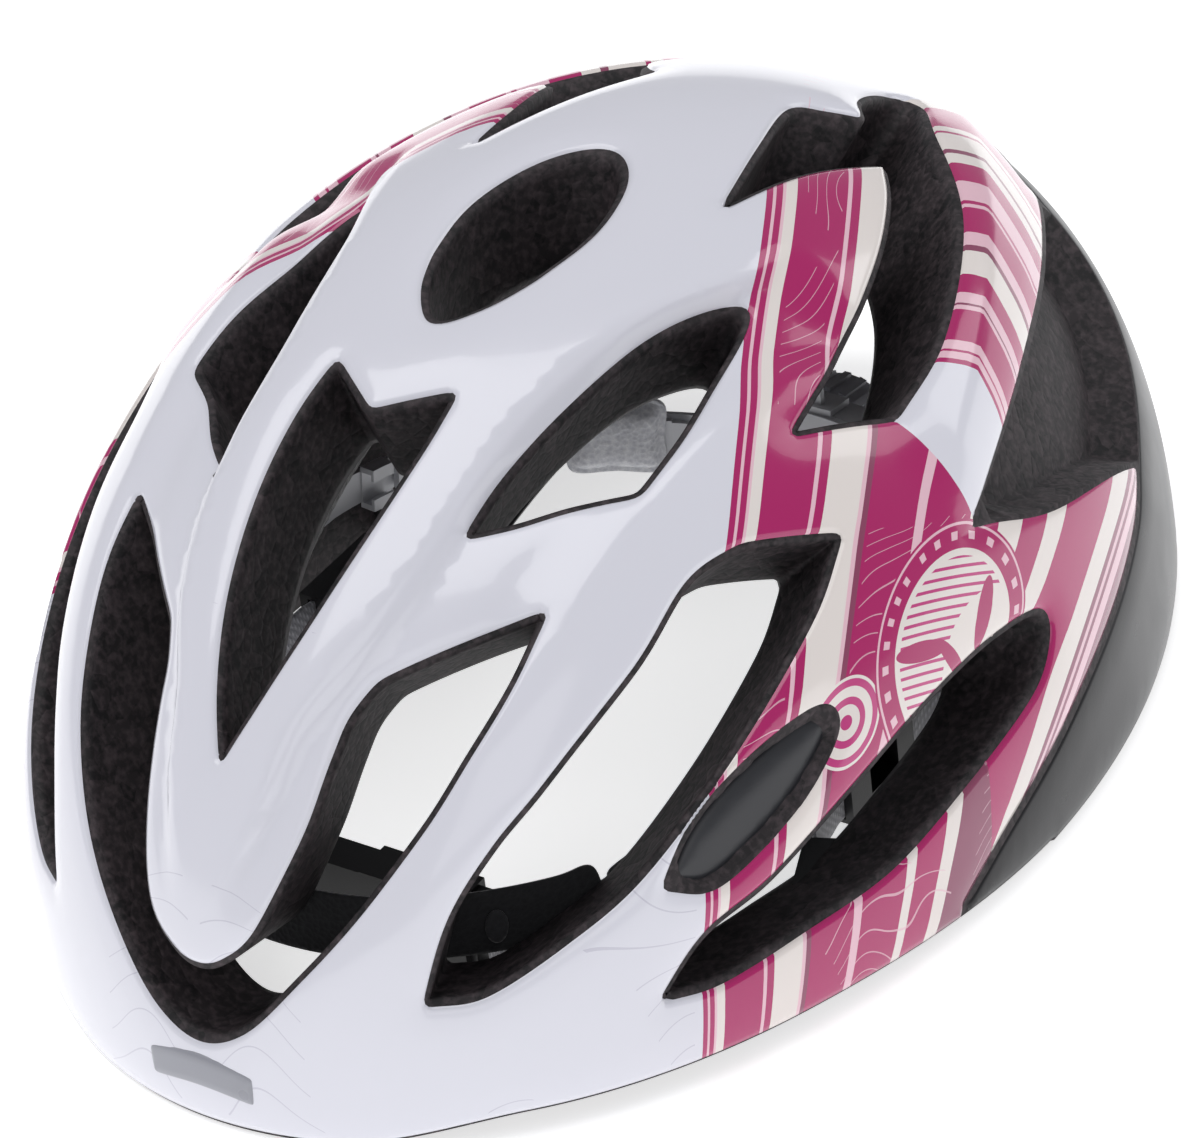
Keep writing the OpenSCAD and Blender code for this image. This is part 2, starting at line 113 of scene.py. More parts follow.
@dataclass(frozen=True)
class Signal:
    """A value in a node tree, worked with ordinary arithmetic."""

    socket: bpy.types.NodeSocket

    @property
    def tree(self) -> Tree:
        """The node tree that the value lives in."""
        return self.socket.id_data

    def calc(self, operation: str, *terms: Any, clamp: bool = False) -> Signal:
        """Adds a Math node that takes this value first."""
        return add(self.tree, "Math", dict(enumerate((self, *terms))), operation=operation,
                   use_clamp=clamp)

    def mix(self, low: Any, high: Any) -> Signal:
        """Mixes two colours, with this value as the share of the second."""
        return add(self.tree, "Mix", {0: self, 6: low, 7: high}, 2, data_type="RGBA")

    def __add__(self, other: Any) -> Signal:
        """Sum."""
        return self.calc("ADD", other)

    def __sub__(self, other: Any) -> Signal:
        """Difference."""
        return self.calc("SUBTRACT", other)

    def __mul__(self, other: Any) -> Signal:
        """Product, which is also "and" for masks."""
        return self.calc("MULTIPLY", other)

    def __truediv__(self, other: float) -> Signal:
        """Quotient."""
        return self.calc("DIVIDE", other)

    def __or__(self, other: Any) -> Signal:
        """The larger of two values, which is "or" for masks."""
        return self.calc("MAXIMUM", other)

    def __gt__(self, other: Any) -> Signal:
        """Mask of where this value is larger."""
        return self.calc("GREATER_THAN", other)

    def __lt__(self, other: Any) -> Signal:
        """Mask of where this value is smaller."""
        return self.calc("LESS_THAN", other)

    def __abs__(self) -> Signal:
        """Magnitude."""
        return self.calc("ABSOLUTE")


def texture(shader: Node, kind: str, scale: float, detail: float = 2.0) -> Signal:
    """Adds a noise or Voronoi texture in object space, with its scale per metre."""
    tree = shader.id_data
    inputs = {"Vector": add(tree, "TexCoord", output="Object"), "Scale": scale}
    if kind == "Noise":
        inputs["Detail"] = detail
    return add(tree, "Tex" + kind, inputs)


def bump(shader: Node, height: Signal, depth_mm: float, strength: float) -> None:
    """Feeds a bump of the given depth into the shader's normal."""
    feed(shader, "Normal", add(height.tree, "Bump", {
        "Height": height, "Distance": depth_mm * MM, "Strength": strength}))


# ---- finishes ----------------------------------------------------------------


@dataclass(frozen=True)
class Finish:
    """A surface finish; subclasses wire its colour, roughness and bump."""

    name: str
    slot: str
    colour: str
    roughness: float

    def wire(self, shader: Node) -> None:
        """Wires the finish's own detail into the shader."""

    def build(self) -> bpy.types.Material:
        """Returns the finish's material, made on first use."""
        known = bpy.data.materials.get(self.name)
        if known:
            return known
        made = bpy.data.materials.new(self.name)
        made.use_nodes = True
        shader = made.node_tree.nodes["Principled BSDF"]
        feed(shader, "Base Color", linear(self.colour))
        feed(shader, "Roughness", self.roughness)
        self.wire(shader)
        return made

    def coat(self, piece: bpy.types.Object) -> None:
        """Puts the finish on a new piece."""
        piece.data.materials.append(self.build())


class Zone(Enum):
    """Which part of the print a piece of the shell carries."""

    FRONT = "front"
    CHEVRON = "rear_rib"
    PANEL = "side_panel"


MAGENTA, ROSE, DUSK = "#AD0C62", "#C23A7F", "#8A3E5E"
CREAM, PALE, WHITE, LILAC = "#E9E1DC", "#E9BFCC", "#DFDFE8", "#A9A5B8"
#: Stripe edges in degrees of arc behind the print's front line, with the colour that starts there.
LONG_STRIPES = ((0.0, WHITE), (0.5, MAGENTA), (1.15, PALE), (1.55, MAGENTA), (2.1, PALE),
                (2.5, CREAM), (3.5, MAGENTA), (8.75, PALE), (9.15, MAGENTA), (10.1, CREAM),
                (13.9, PALE), (14.3, DUSK), (14.9, MAGENTA), (20.6, PALE), (21.6, MAGENTA),
                (27.5, CREAM), (28.6, MAGENTA), (32.2, CREAM), (34.2, DUSK))
CHEVRON_STRIPES = ((0.0, WHITE), (10.2, MAGENTA), (10.7, PALE), (11.5, MAGENTA), (12.0, PALE),
                   (12.9, MAGENTA), (16.7, PALE), (17.3, DUSK), (17.7, PALE), (19.0, MAGENTA),
                   (21.6, CREAM), (24.8, DUSK), (25.6, PALE), (27.4, MAGENTA), (31.4, PALE),
                   (31.8, MAGENTA), (32.3, PALE), (35.8, MAGENTA), (39.0, CREAM), (40.8, DUSK),
                   (41.8, CREAM), (45.6, MAGENTA), (46.2, CREAM), (47.4, MAGENTA), (54.6, CREAM),
                   (57.6, MAGENTA))
PANEL_STRIPES = ((0.0, DUSK), (1.6, PALE), (2.7, DUSK), (3.2, PALE), (3.7, DUSK), (4.3, CREAM),
                 (6.6, MAGENTA), (12.4, CREAM), (14.8, MAGENTA), (17.9, CREAM), (20.8, MAGENTA),
                 (24.0, CREAM))


@dataclass(frozen=True)
class PrintedShell(Finish):
    """Polycarbonate film, screen printed inside and vacuum formed: a deep, even gloss."""

    zone: Zone

    def wire(self, shader: Node) -> None:
        """Wires the print and a slight orange peel under a clear coat."""
        tree = shader.id_data
        uv = add(tree, "UVMap", uv_map="dome")
        across, along = (add(tree, "SeparateXYZ", {0: uv}, k) * UV_SPAN - UV_SPAN / 2
                         for k in (0, 1))
        draw = {Zone.FRONT: self.front, Zone.CHEVRON: self.chevron, Zone.PANEL: self.panel}
        feed(shader, "Base Color", draw[self.zone](abs(across), along))
        feed(shader, "Coat Weight", 0.6)
        feed(shader, "Coat Roughness", 0.06)
        bump(shader, texture(shader, "Noise", 260.0), 0.03, 0.25)

    def ramp(self, along: Signal, stripes: Sequence[tuple[float, str]],
             span: float = 40.0) -> Signal:
        """Returns hard-edged stripes along a coordinate in degrees of arc."""
        made = add(along.tree, "ValToRGB", {0: (along | 0.0) / span})
        ramp = made.socket.node.color_ramp
        ramp.interpolation = "CONSTANT"
        for i, (edge, colour) in enumerate(stripes):
            stop = ramp.elements[i] if i < 2 else ramp.elements.new(edge / span)
            stop.position = edge / span
            stop.color = linear(colour)
        return made

    def scrolls(self, side: Signal, back: Signal, scale: float, width: float) -> Signal:
        """Returns a mask of thin wandering pen lines."""
        place = add(side.tree, "CombineXYZ", {0: side, 1: back})
        warp = add(side.tree, "TexNoise", {"Vector": place, "Scale": scale / 2, "Detail": 1.0})
        rings = add(side.tree, "TexWave", {"Vector": place, "Scale": scale, "Distortion": 9.0,
                                           "Detail": 0.0}, 1, wave_type="RINGS",
                    rings_direction="Z")
        return (abs(rings - 0.5) < width) * (warp > 0.53)

    def front(self, side: Signal, back: Signal) -> Signal:
        """White front with pale pen lines, then long stripes behind a straight line."""
        along = (back + (side * 1.2745 - 28.4)) / 1.62
        base = self.ramp((along | 0.0) * (side > 14.4), LONG_STRIPES)
        low = (along < -0.5) * ((back < -44.0) | (side > 52.0))
        faint = self.scrolls(side, back, 0.05, 0.03) * low
        wide = (along > 4.2) * (along < 8.3)
        ink = self.scrolls(side, back, 0.1, 0.05) * (wide | (along > 15.4))
        drawn = (ink * 0.7).mix((faint * 0.4).mix(base, linear(LILAC)), linear(PALE))
        return self.ornament(side, back, drawn)

    def chevron(self, side: Signal, back: Signal) -> Signal:
        """Stripes across the rear rib that fall away outside its ridge."""
        across = (back + (side * 1.24 - 67.0)) / 1.59
        along = (back * 1.24 - side + 50.0) / 1.59
        return self.ramp(along + (across | 0.0) * 0.75, CHEVRON_STRIPES, 70.0)

    def panel(self, side: Signal, back: Signal) -> Signal:
        """Stripes along the panel's rear edge, with the ornament over them."""
        edge = (back * 0.52 + side - 85.2) / -1.13
        return self.ornament(side, back, self.ramp(edge, PANEL_STRIPES))

    def reach(self, side: Signal, back: Signal, spot: tuple[float, float],
              size: tuple[float, float], turn: float = 0.0) -> Signal:
        """Distance from a spot in half sizes of an ellipse turned by an angle in degrees."""
        dx, dy = side - spot[0], back - spot[1]
        c, s = math.cos(math.radians(turn)), math.sin(math.radians(turn))
        along = dx * (c / size[0]) + dy * (s / size[0])
        across = dx * (-s / size[1]) + dy * (c / size[1])
        return (along * along + across * across).calc("SQRT")

    def ornament(self, side: Signal, back: Signal, base: Signal) -> Signal:
        """Lays a crescent of hatching, leaves and a dotted band over the base colour."""
        spot = (65.0, -8.5)
        ring = self.reach(side, back, spot, (10.0, 12.6), 20.0)
        dx, dy = side - spot[0], back - spot[1]
        beads = (dy.calc("ARCTAN2", dx) * 4.2).calc("FRACT").calc("COMPARE", 0.5, 0.17)
        band = (ring > 0.76).mix(linear(CREAM), linear(MAGENTA))
        bead = beads * ring.calc("COMPARE", 0.87, 0.035)
        art = (bead | ring.calc("COMPARE", 0.965, 0.012)).mix(band, linear(PALE))
        hatch = (dx * 0.95 + dy * -0.55).calc("FRACT") < 0.34
        moon = (ring < 0.7) * (self.reach(side, back, (69.5, -4.5), (6.5, 8.0)) > 1.0)
        art = (hatch * moon).mix(art, linear(ROSE))
        for place, size, turn in (((62.6, -12.5), (3.4, 0.95), 60.0),
                                  ((65.0, -3.4), (3.6, 1.0), 130.0),
                                  ((66.0, -9.5), (3.0, 0.8), 15.0)):
            leaf = self.reach(side, back, place, size, turn)
            art = (leaf < 1.0).mix(art, linear(MAGENTA))
        small = self.reach(side, back, (61.0, -23.5), (3.6, 4.6), 10.0)
        curl = (small * 2.6).calc("FRACT") < 0.42
        over = (small < 1.0).mix(base, curl.mix(linear(CREAM), linear(ROSE)))
        return (ring < 1.0).mix(over, art)


@dataclass(frozen=True)
class BeadFoam(Finish):
    """Expanded polystyrene, steam moulded: fused 3 mm beads with a faint skin sheen."""

    light: str
    bead_mm: float = 3.0

    def wire(self, shader: Node) -> None:
        """Wires bead outlines, a grey fleck per bead and a shallow bump."""
        tree = shader.id_data
        cells = {"Vector": add(tree, "TexCoord", output="Object"),
                 "Scale": 1.0 / (self.bead_mm * MM)}
        seam = add(tree, "TexVoronoi", cells, feature="DISTANCE_TO_EDGE")
        fleck = add(tree, "SeparateColor", {0: add(tree, "TexVoronoi", cells, "Color")})
        dust = texture(shader, "Noise", 700.0, 3.0).calc("MULTIPLY_ADD", 3.4, -1.45, clamp=True)
        tone = fleck * 0.35 + dust * 0.65
        feed(shader, "Base Color", tone.mix(linear(self.colour), linear(self.light)))
        feed(shader, "Specular IOR Level", 0.35)
        bump(shader, seam.calc("SMOOTH_MIN", 0.16, 0.1), 0.5, 0.7)


@dataclass(frozen=True)
class MouldedPlastic(Finish):
    """Injection-moulded nylon or ABS with a fine spark-eroded grain."""

    grain_mm: float = 0.35
    relief: float = 0.35

    def wire(self, shader: Node) -> None:
        """Wires a fine grain and slightly uneven gloss."""
        grain = texture(shader, "Noise", 1.0 / (self.grain_mm * MM))
        cloud = texture(shader, "Noise", 60.0)
        feed(shader, "Roughness", cloud * 0.16 + (self.roughness - 0.08))
        feed(shader, "Base Color", cloud.mix(linear(self.colour, 0.82), linear(self.colour)))
        bump(shader, grain, 0.06, self.relief)


@dataclass(frozen=True)
class WovenTape(Finish):
    """Polyester webbing in a narrow twill: 0.9 mm ribs across the tape."""

    thread_mm: float = 0.9

    def wire(self, shader: Node) -> None:
        """Wires the weave along the tape's own coordinates."""
        tree = shader.id_data
        uv = add(tree, "UVMap", uv_map="dome")
        scale = 0.314 * UV_SPAN / self.thread_mm
        rows, columns = (add(tree, "TexWave", {"Vector": uv, "Scale": scale * share,
                                               "Distortion": 0.3}, 1, bands_direction=way)
                         for share, way in ((1.0, "X"), (0.9, "DIAGONAL")))
        weave = rows * columns
        feed(shader, "Base Color", weave.mix(linear(self.colour, 0.62), linear(self.colour)))
        feed(shader, "Sheen Weight", 0.3)
        bump(shader, weave, 0.25, 0.8)


@dataclass(frozen=True)
class KnitPad(Finish):
    """Brushed polyester knit over foam, welded flat along its edge."""

    def wire(self, shader: Node) -> None:
        """Wires a 1 mm knit with fuzz."""
        knit = texture(shader, "Voronoi", 900.0)
        tone = knit * texture(shader, "Noise", 2600.0, 3.0)
        feed(shader, "Base Color", tone.mix(linear(self.colour), linear(self.colour, 2.4, 0.01)))
        feed(shader, "Sheen Weight", 0.5)
        feed(shader, "Sheen Roughness", 0.5)
        bump(shader, knit, 0.3, 0.6)


@dataclass(frozen=True)
class PlatedSteel(Finish):
    """Zinc-plated steel: fine scratches in a soft metallic sheen."""

    def wire(self, shader: Node) -> None:
        """Wires fine scratches on a metal base."""
        feed(shader, "Metallic", 1.0)
        bump(shader, texture(shader, "Noise", 1500.0), 0.02, 0.4)


# Screen-printed film, one material for each zone of the print.
SHELL = {zone: PrintedShell("Polycarbonate_film_printed_" + zone.value, "gloss_white_shell",
                            WHITE, 0.2, zone) for zone in Zone}
# Beads fused in a steam mould, and the black film vacuum formed over them at the rear.
FOAM = BeadFoam("EPS_foam_steam_moulded", "black_foam", "#131214", 0.62, "#4A4144")
TAIL = MouldedPlastic("Polycarbonate_film_black_satin", "matt_black_shell", "#17171A", 0.3,
                      0.5, 0.15)
# Injection-moulded trim and fittings.
TRIM = MouldedPlastic("ABS_moulded_dark_grey", "grey_trim", "#2C2D31", 0.34, 0.5, 0.2)
PLAQUE = MouldedPlastic("ABS_moulded_silver_grey", "badge_grey", "#9FA0A8", 0.3, 0.5, 0.15)
NYLON = MouldedPlastic("Nylon_moulded_pale_grey", "pale_nylon", "#D9DADE", 0.42)
BLACK_NYLON = MouldedPlastic("Acetal_moulded_black", "black_nylon", "#141416", 0.38)
KNOB = MouldedPlastic("Elastomer_moulded_grey", "grey_knob", "#C3C4CA", 0.5)
# Woven webbing and the thread that sews it.
TAPE = WovenTape("Polyester_webbing_woven_white", "white_webbing", "#DCDCE2", 0.75)
THREAD = WovenTape("Polyester_thread_twisted_grey", "white_webbing", "#B5B6BE", 0.7, 0.4)
# Brushed knits of the pads, and the hook tape under them.
PALE_PAD = KnitPad("Polyester_knit_brushed_grey", "grey_pad_fabric", "#B9BAC2", 0.9)
PAD = KnitPad("Polyester_knit_brushed_black", "pad_fabric", "#121215", 0.9)
HOOK = KnitPad("Nylon_hook_tape_black", "hook_tape", "#1B1B1E", 0.8)
# Zinc-plated fasteners and spring.
STEEL = PlatedSteel("Steel_zinc_plated", "spring_steel", "#B9BCC2", 0.32)


# ---- surfaces ------------------------------------------------------------------


@dataclass(frozen=True)
class Dome:
    """A rounded dome over the rim plane, addressed by degrees of arc from its crown."""

    length: float
    width: float
    height: float
    centre: float
    power: float = 2.27

    def point(self, uv: Array, depth: Array | float = 0.0) -> Array:
        """Points in mm at [u, v] in degrees, `depth` mm inside the dome.

        Args:
            uv: Rows of u to the wearer's left and v to the rear.
            depth: Distance inside the surface.
        Returns:
            Rows of x, y, z.
        """
        r = np.maximum(np.hypot(uv[:, 0], uv[:, 1]), 1e-4)
        a = np.radians(np.minimum(r, 90.0))
        q = np.sin(a) ** (2 / self.power)
        x = (self.width - depth) * q * uv[:, 0] / r
        y = self.centre + (self.length - depth) * q * uv[:, 1] / r
        z = (self.height - depth) * np.maximum(np.cos(a), 0) ** (2 / self.power)
        return np.stack([x, y, z], axis=1)

    def rim(self, turn: Array, lift: Array) -> Array:
        """Returns [u, v] around the dome where its surface is `lift` mm high."""
        r = np.degrees(np.arccos((lift / self.height) ** (self.power / 2)))
        return np.stack([r * np.cos(turn), r * np.sin(turn)], axis=1)


OUTER = Dome(140.0, 101.0, 121.0, 1.12)
CAVE = Dome(110.0, 79.0, 97.0, -4.88)


def smooth(edge0: float, edge1: float, value: Array) -> Array:
    """Smooth step from 0 at edge0 to 1 at edge1."""
    t = np.clip((value - edge0) / (edge1 - edge0), 0, 1)
    return t * t * (3 - 2 * t)


def spline(points: Outline, closed: bool, step: float) -> Array:
    """Draws a smooth line through points; a third value marks a corner.

    Args:
        points: Rows of u, v and an optional corner mark.
        closed: Whether the line returns to its start.
        step: Spacing of the result in degrees of arc.
    Returns:
        Evenly spaced rows of u, v.
    """
    rows = [np.array(p[:2], float) for p in points]
    corner = [len(p) > 2 for p in points]
    n = len(rows)
    if closed and any(corner):
        k = corner.index(True)
        rows, corner = rows[k:] + rows[:k], corner[k:] + corner[:k]
    dense = []
    for i in range(n if closed else n - 1):
        p1, p2 = rows[i], rows[(i + 1) % n]
        p0 = p1 * 2 - p2 if corner[i] or (not closed and i == 0) else rows[i - 1]
        ends = corner[(i + 1) % n] or (not closed and i == n - 2)
        p3 = p2 * 2 - p1 if ends else rows[(i + 2) % n]
        for t in np.linspace(0, 1, 24, endpoint=False):
            dense.append(0.5 * (2 * p1 + (p2 - p0) * t + (2 * p0 - 5 * p1 + 4 * p2 - p3) * t * t
                                + (3 * p1 - p0 - 3 * p2 + p3) * t ** 3))
    dense.append(rows[0] if closed else rows[-1])
    line = np.array(dense)
    run = np.concatenate([[0], np.cumsum(np.linalg.norm(np.diff(line, axis=0), axis=1))])
    count = max(3, int(round(run[-1] / step)))
    at = np.linspace(0, run[-1], count + 1)
    even = np.stack([np.interp(at, run, line[:, k]) for k in (0, 1)], axis=1)
    return even[:-1] if closed else even


def rounded(loop: Array, passes: int) -> Array:
    """Softens a closed loop's corners."""
    for _ in range(passes):
        loop = (np.roll(loop, 1, 0) + 2 * loop + np.roll(loop, -1, 0)) / 4
    return loop


def mirrored(loop: Array) -> Array:
    """The loop on the other side of the helmet."""
    return (loop * [-1, 1])[::-1]


def inside(points: Array, loop: Array) -> Array:
    """Even-odd test of points against a closed loop."""
    x, y = points[:, 0], points[:, 1]
    hit = np.zeros(len(points), bool)
    for (x0, y0), (x1, y1) in zip(loop, np.roll(loop, -1, 0)):
        if y0 == y1:
            continue
        crosses = (y0 > y) != (y1 > y)
        hit ^= crosses & (x < (x1 - x0) * (y - y0) / (y1 - y0) + x0)
    return hit


def moved_in(loop: Array, by: float) -> Array:
    """Moves a closed loop towards its inside by `by` degrees of arc."""
    tangent = np.roll(loop, -1, 0) - np.roll(loop, 1, 0)
    tangent /= np.maximum(np.linalg.norm(tangent, axis=1, keepdims=True), 1e-9)
    area = np.sum(loop[:, 0] * np.roll(loop[:, 1], -1) - loop[:, 1] * np.roll(loop[:, 0], -1))
    normal = np.stack([-tangent[:, 1], tangent[:, 0]], axis=1) * np.sign(area)
    return loop + normal * by


class Ruler:
    """Distance in mm on a surface from points to a set of lines."""

    def __init__(self, lines: Iterable[Array], place: Place = OUTER.point) -> None:
        """Indexes the lines, which should be finely spaced, on a surface."""
        self.place = place
        dots = np.vstack([place(line, 0.0) for line in lines])
        self.tree = KDTree(len(dots))
        for i, dot in enumerate(dots):
            self.tree.insert(dot, i)
        self.tree.balance()

    def __call__(self, uv: Array) -> Array:
        """Returns the distance of each point in mm."""
        return np.array([self.tree.find(p)[2] for p in self.place(uv, 0.0)])


def flat_place(uv: Array, depth: Any) -> Array:
    """[u, v] laid out flat, for distances in degrees of arc."""
    return np.column_stack([uv, np.zeros(len(uv))])


# ---- outlines of the helmet ------------------------------------------------------

C = 1  # marks a corner
STAR = [(0, -24, C), (7, -20, C), (7.6, -26), (7.2, -34), (5.6, -43), (3, -51), (0, -57.5, C),
        (-3, -51), (-5.6, -43), (-7.2, -34), (-7.6, -26), (-7, -20, C)]
CROWN = [(0, -14.4), (3.4, -11.6), (5.2, -8, C), (6, -2.5), (4.6, 2.4), (2.4, 5.2), (0, 6.2),
         (-2.4, 5.2), (-4.6, 2.4), (-6, -2.5), (-5.2, -8, C), (-3.4, -11.6)]
FRONT_HALF = [(4.4, -74.8), (9, -71), (12.4, -62), (13.2, -54), (13.5, -50), (15, -46, C),
              (20.5, -41), (28, -34, C), (28.8, -41), (28.2, -48), (26.6, -56), (22.4, -65.5),
              (16.4, -73.5), (8.6, -80.4)]
BROW = [(23.6, -1), (20.6, -4), (18.2, -9), (16.8, -17), (16, -25), (16, -31.4, C), (20, -28.6),
        (24.4, -24.6), (29, -21.4, C), (28.6, -15), (27.2, -9), (25.6, -3.4)]
SIDE = [(33, -70.4, C), (33, -62), (34.8, -54), (37, -46.5), (39, -34), (38.4, -25),
        (40.4, -19.6, C), (48, -12, C), (51.4, -20), (53, -34), (51.4, -48), (46.6, -58),
        (40, -66.4)]
LOW = [(60, -56, C), (61, -48), (64.4, -39), (66.2, -27), (67, -14), (68, -3), (70, 5.6),
       (73.2, 5.2), (76, 0), (77, -13), (76, -27), (71, -40), (65.6, -50)]
ELBOW = [(14, 5, C), (11, 14), (8.6, 22), (11, 24.5), (14.2, 27.6, C), (10.6, 32), (9.4, 40),
         (13, 41), (20, 33.5), (32, 23), (41, 10), (44, 0, C), (37, -9, C), (34.4, 1), (30, 11),
         (25.4, 18), (21.4, 22, C), (17, 13.6)]
DISH = [(54, -47.6, C), (53.2, -41), (55, -32), (58, -24.4), (60.8, -25), (62, -33), (59.4, -43.5)]
CHANNEL = [(57.6, 0, C), (50, 16), (42, 30), (29.6, 47.4, C), (38, 51), (50, 47), (63, 36.4, C),
           (62.4, 14)]
REAR = [(8.6, 57, C), (24, 54, C), (30, 60), (33.6, 67.5), (32, 73), (22, 75), (14, 69)]
SEAM_BACK = [(0, 50), (10, 49), (18, 47), (29.6, 47.4, C)]
SEAM_FLOOR = [(29.6, 47.4, C), (38, 51), (50, 47), (63, 36.4, C)]
SEAM_CUT = [(29.6, 47.4, C), (42, 30), (50, 16), (57.6, 1, C), (62.4, 14), (63, 36.4, C)]
SEAM_SIDE = [(63, 36.4, C), (69, 31), (76, 19), (82, 3), (85, -12), (87, -24), (88.5, -32)]
#: Where one print meets another on the shell.
BORDERS = [[(44.2, -0.4), (57.6, 1)], [(57.6, 1), (61, -1.5), (66, -3), (68.2, -3)],
           [(77, -10), (80, -11.5), (84, -13), (89.5, -14)], [(9.4, 39.6), (13, 45), (15, 47.7)]]
CREASE = [(22.4, 3), (22, 0), (17.4, -8), (15, -19), (14.8, -29), (14, -38), (12.2, -45),
          (9, -52), (7.4, -60), (4, -70), (2, -77)]
RIDGE = [(15, 46), (26, 34), (36, 22), (44, 11), (50, 2)]


@dataclass
class Layout:
    """The outlines as fine loops, for both sides of the helmet."""

    step: float = 0.55

    def __post_init__(self) -> None:
        """Draws every outline once."""
        half = [tuple(p) for p in FRONT_HALF]
        other = [(-p[0],) + tuple(p[1:]) for p in reversed(FRONT_HALF)]
        front = half + [(0, -82.9)] + other + [(0, -75.9)]
        sided = {"brow": BROW, "side": SIDE, "low": LOW, "elbow": ELBOW, "rear": REAR}
        self.vents = {"star": self.loop(STAR), "crown": self.loop(CROWN),
                      "front": self.loop(front)}
        for name, points in sided.items():
            self.vents[name + "_left"] = self.loop(points)
            self.vents[name + "_right"] = mirrored(self.loop(points))
        self.dishes = [self.loop(DISH), mirrored(self.loop(DISH))]
        self.channels = [self.loop(CHANNEL), mirrored(self.loop(CHANNEL))]
        self.upper_seam = self.seam((SEAM_BACK, SEAM_CUT, SEAM_SIDE))
        self.lower_seam = self.seam((SEAM_BACK, SEAM_FLOOR, SEAM_SIDE))
        self.borders = [spline(line, False, self.step) for line in BORDERS]
        self.borders += [line * [-1, 1] for line in self.borders]
        crease = spline(CREASE, False, self.step)
        crease = crease[(crease[:, 1] < 1.5) & (crease[:, 1] > -58)]
        shifted = [crease + [by, 0] for by in (-0.9, 0.1, 1.1)]
        self.creases = tuple(shifted + [line * [-1, 1] for line in shifted])

    def seam(self, parts: Sequence[Outline]) -> Array:
        """A seam from the right rim over the back to the left rim."""
        half = np.vstack([spline(part, False, self.step)[(1 if k else 0):]
                          for k, part in enumerate(parts)])
        half = half[OUTER.point(half)[:, 2] > 5.4]
        return np.vstack([(half * [-1, 1])[:0:-1], half])

    def loop(self, points: Outline) -> Array:
        """A closed outline with slightly softened corners."""
        return rounded(spline(points, True, self.step), 3)


def arch_height(y: Array) -> Array:
    """Height in mm of the rim's underside along the helmet: raised over the rear."""
    arc = 85.0 ** 2 - (153.12 - y) ** 2
    return np.maximum(np.sqrt(np.maximum(arc, 0.0)) - 62.0, 0.0)


@dataclass
class Skin:
    """A patch of surface triangulated between loops of [u, v]."""

    outline: Array
    holes: list[Array]
    lines: list[Array]
    pitch: float = 1.3
    rings: tuple[float, ...] = (0.35, 0.8, 1.4)
    guides: tuple[Array, ...] = ()
    reach: float = 92.0

    def triangulate(self) -> tuple[Array, Array]:
        """Returns the points and the triangles between the outline and the holes."""
        loops = [self.outline] + self.holes
        rows = [np.vstack(loops + self.lines)]
        edges: list[tuple[int, int]] = []
        fixed = 0
        for i, line in enumerate(loops + self.lines):
            n = len(line)
            closed = i < len(loops)
            edges += [(fixed + k, fixed + (k + 1) % n) for k in range(n if closed else n - 1)]
            fixed += n
        flat = Ruler([rows[0]], flat_place)

        def clear(points: Array, least: float) -> Array:
            """Drops the points nearer to the fixed lines than a least distance."""
            return points[flat(points) > least] if len(points) else points

        for ring in self.rings:
            rows += [clear(moved_in(h, -ring), ring * 0.8) for h in self.holes]
            rows.append(clear(moved_in(self.outline, ring), ring * 0.8))
        across = np.arange(-self.reach, self.reach, self.pitch)
        along = np.arange(-self.reach, self.reach, self.pitch * 0.866)
        free = np.array([(a + (k % 2) * self.pitch / 2, b) for k, b in enumerate(along)
                         for a in across])
        free = clear(free[inside(free, self.outline)], max(self.rings) + 0.45)
        guides = [clear(line, 0.6) for line in self.guides]
        if guides:
            near = Ruler(guides, flat_place)
            free = free[near(free) > 0.9]
            rows = rows[:1] + [ring[near(ring) > 0.3] for ring in rows[1:]] + guides
        points = np.vstack(rows + [free])
        seen, keep = set(), []
        for i, p in enumerate(points):
            key = (round(p[0], 3), round(p[1], 3))
            if i < fixed or key not in seen:
                keep.append(i)
            seen.add(key)
        points = points[keep]
        verts, _, faces, *_ = delaunay_2d_cdt([Vector(p) for p in points], edges, [], 0, 1e-5)
        out = np.array([(v.x, v.y) for v in verts])
        tris = np.array([list(f) for f in faces if len(f) == 3])
        mid = out[tris].mean(axis=1)
        keep_tri = inside(mid, self.outline)
        for hole in self.holes:
            keep_tri &= ~inside(mid, hole)
        return out, tris[keep_tri]


def build_mesh(name: str, points: Array, faces: Sequence[Sequence[int]],
               uv: Array | None = None, slots: Array | None = None,
               weld: float = 0.0) -> bpy.types.Object:
    """Makes a smooth-shaded mesh object from points in mm.

    Args:
        name: Object name.
        points: Rows of x, y, z in mm.
        faces: Index lists.
        uv: Optional [u, v] in degrees per point, stored in the "dome" UV map.
        slots: Optional material index per face.
        weld: Merge distance in mm, or 0.
    Returns:
        The new object.
    """
    mesh = bpy.data.meshes.new(name)
    mesh.from_pydata((points * MM).tolist(), [], [list(map(int, f)) for f in faces])
    if uv is not None:
        layer = mesh.uv_layers.new(name="dome")
        index = np.zeros(len(mesh.loops), np.int32)
        mesh.loops.foreach_get("vertex_index", index)
        share = (uv[index] + UV_SPAN / 2) / UV_SPAN
        layer.data.foreach_set("uv", share.astype(np.float32).ravel())
    if slots is not None:
        mesh.polygons.foreach_set("material_index", slots.astype(np.int32))
    if weld:
        work = bmesh.new()
        work.from_mesh(mesh)
        bmesh.ops.remove_doubles(work, verts=work.verts, dist=weld * MM)
        bmesh.ops.recalc_face_normals(work, faces=work.faces)
        work.to_mesh(mesh)
        work.free()
    mesh.shade_smooth()
    made = bpy.data.objects.new(name, mesh)
    bpy.context.scene.collection.objects.link(made)
    return made


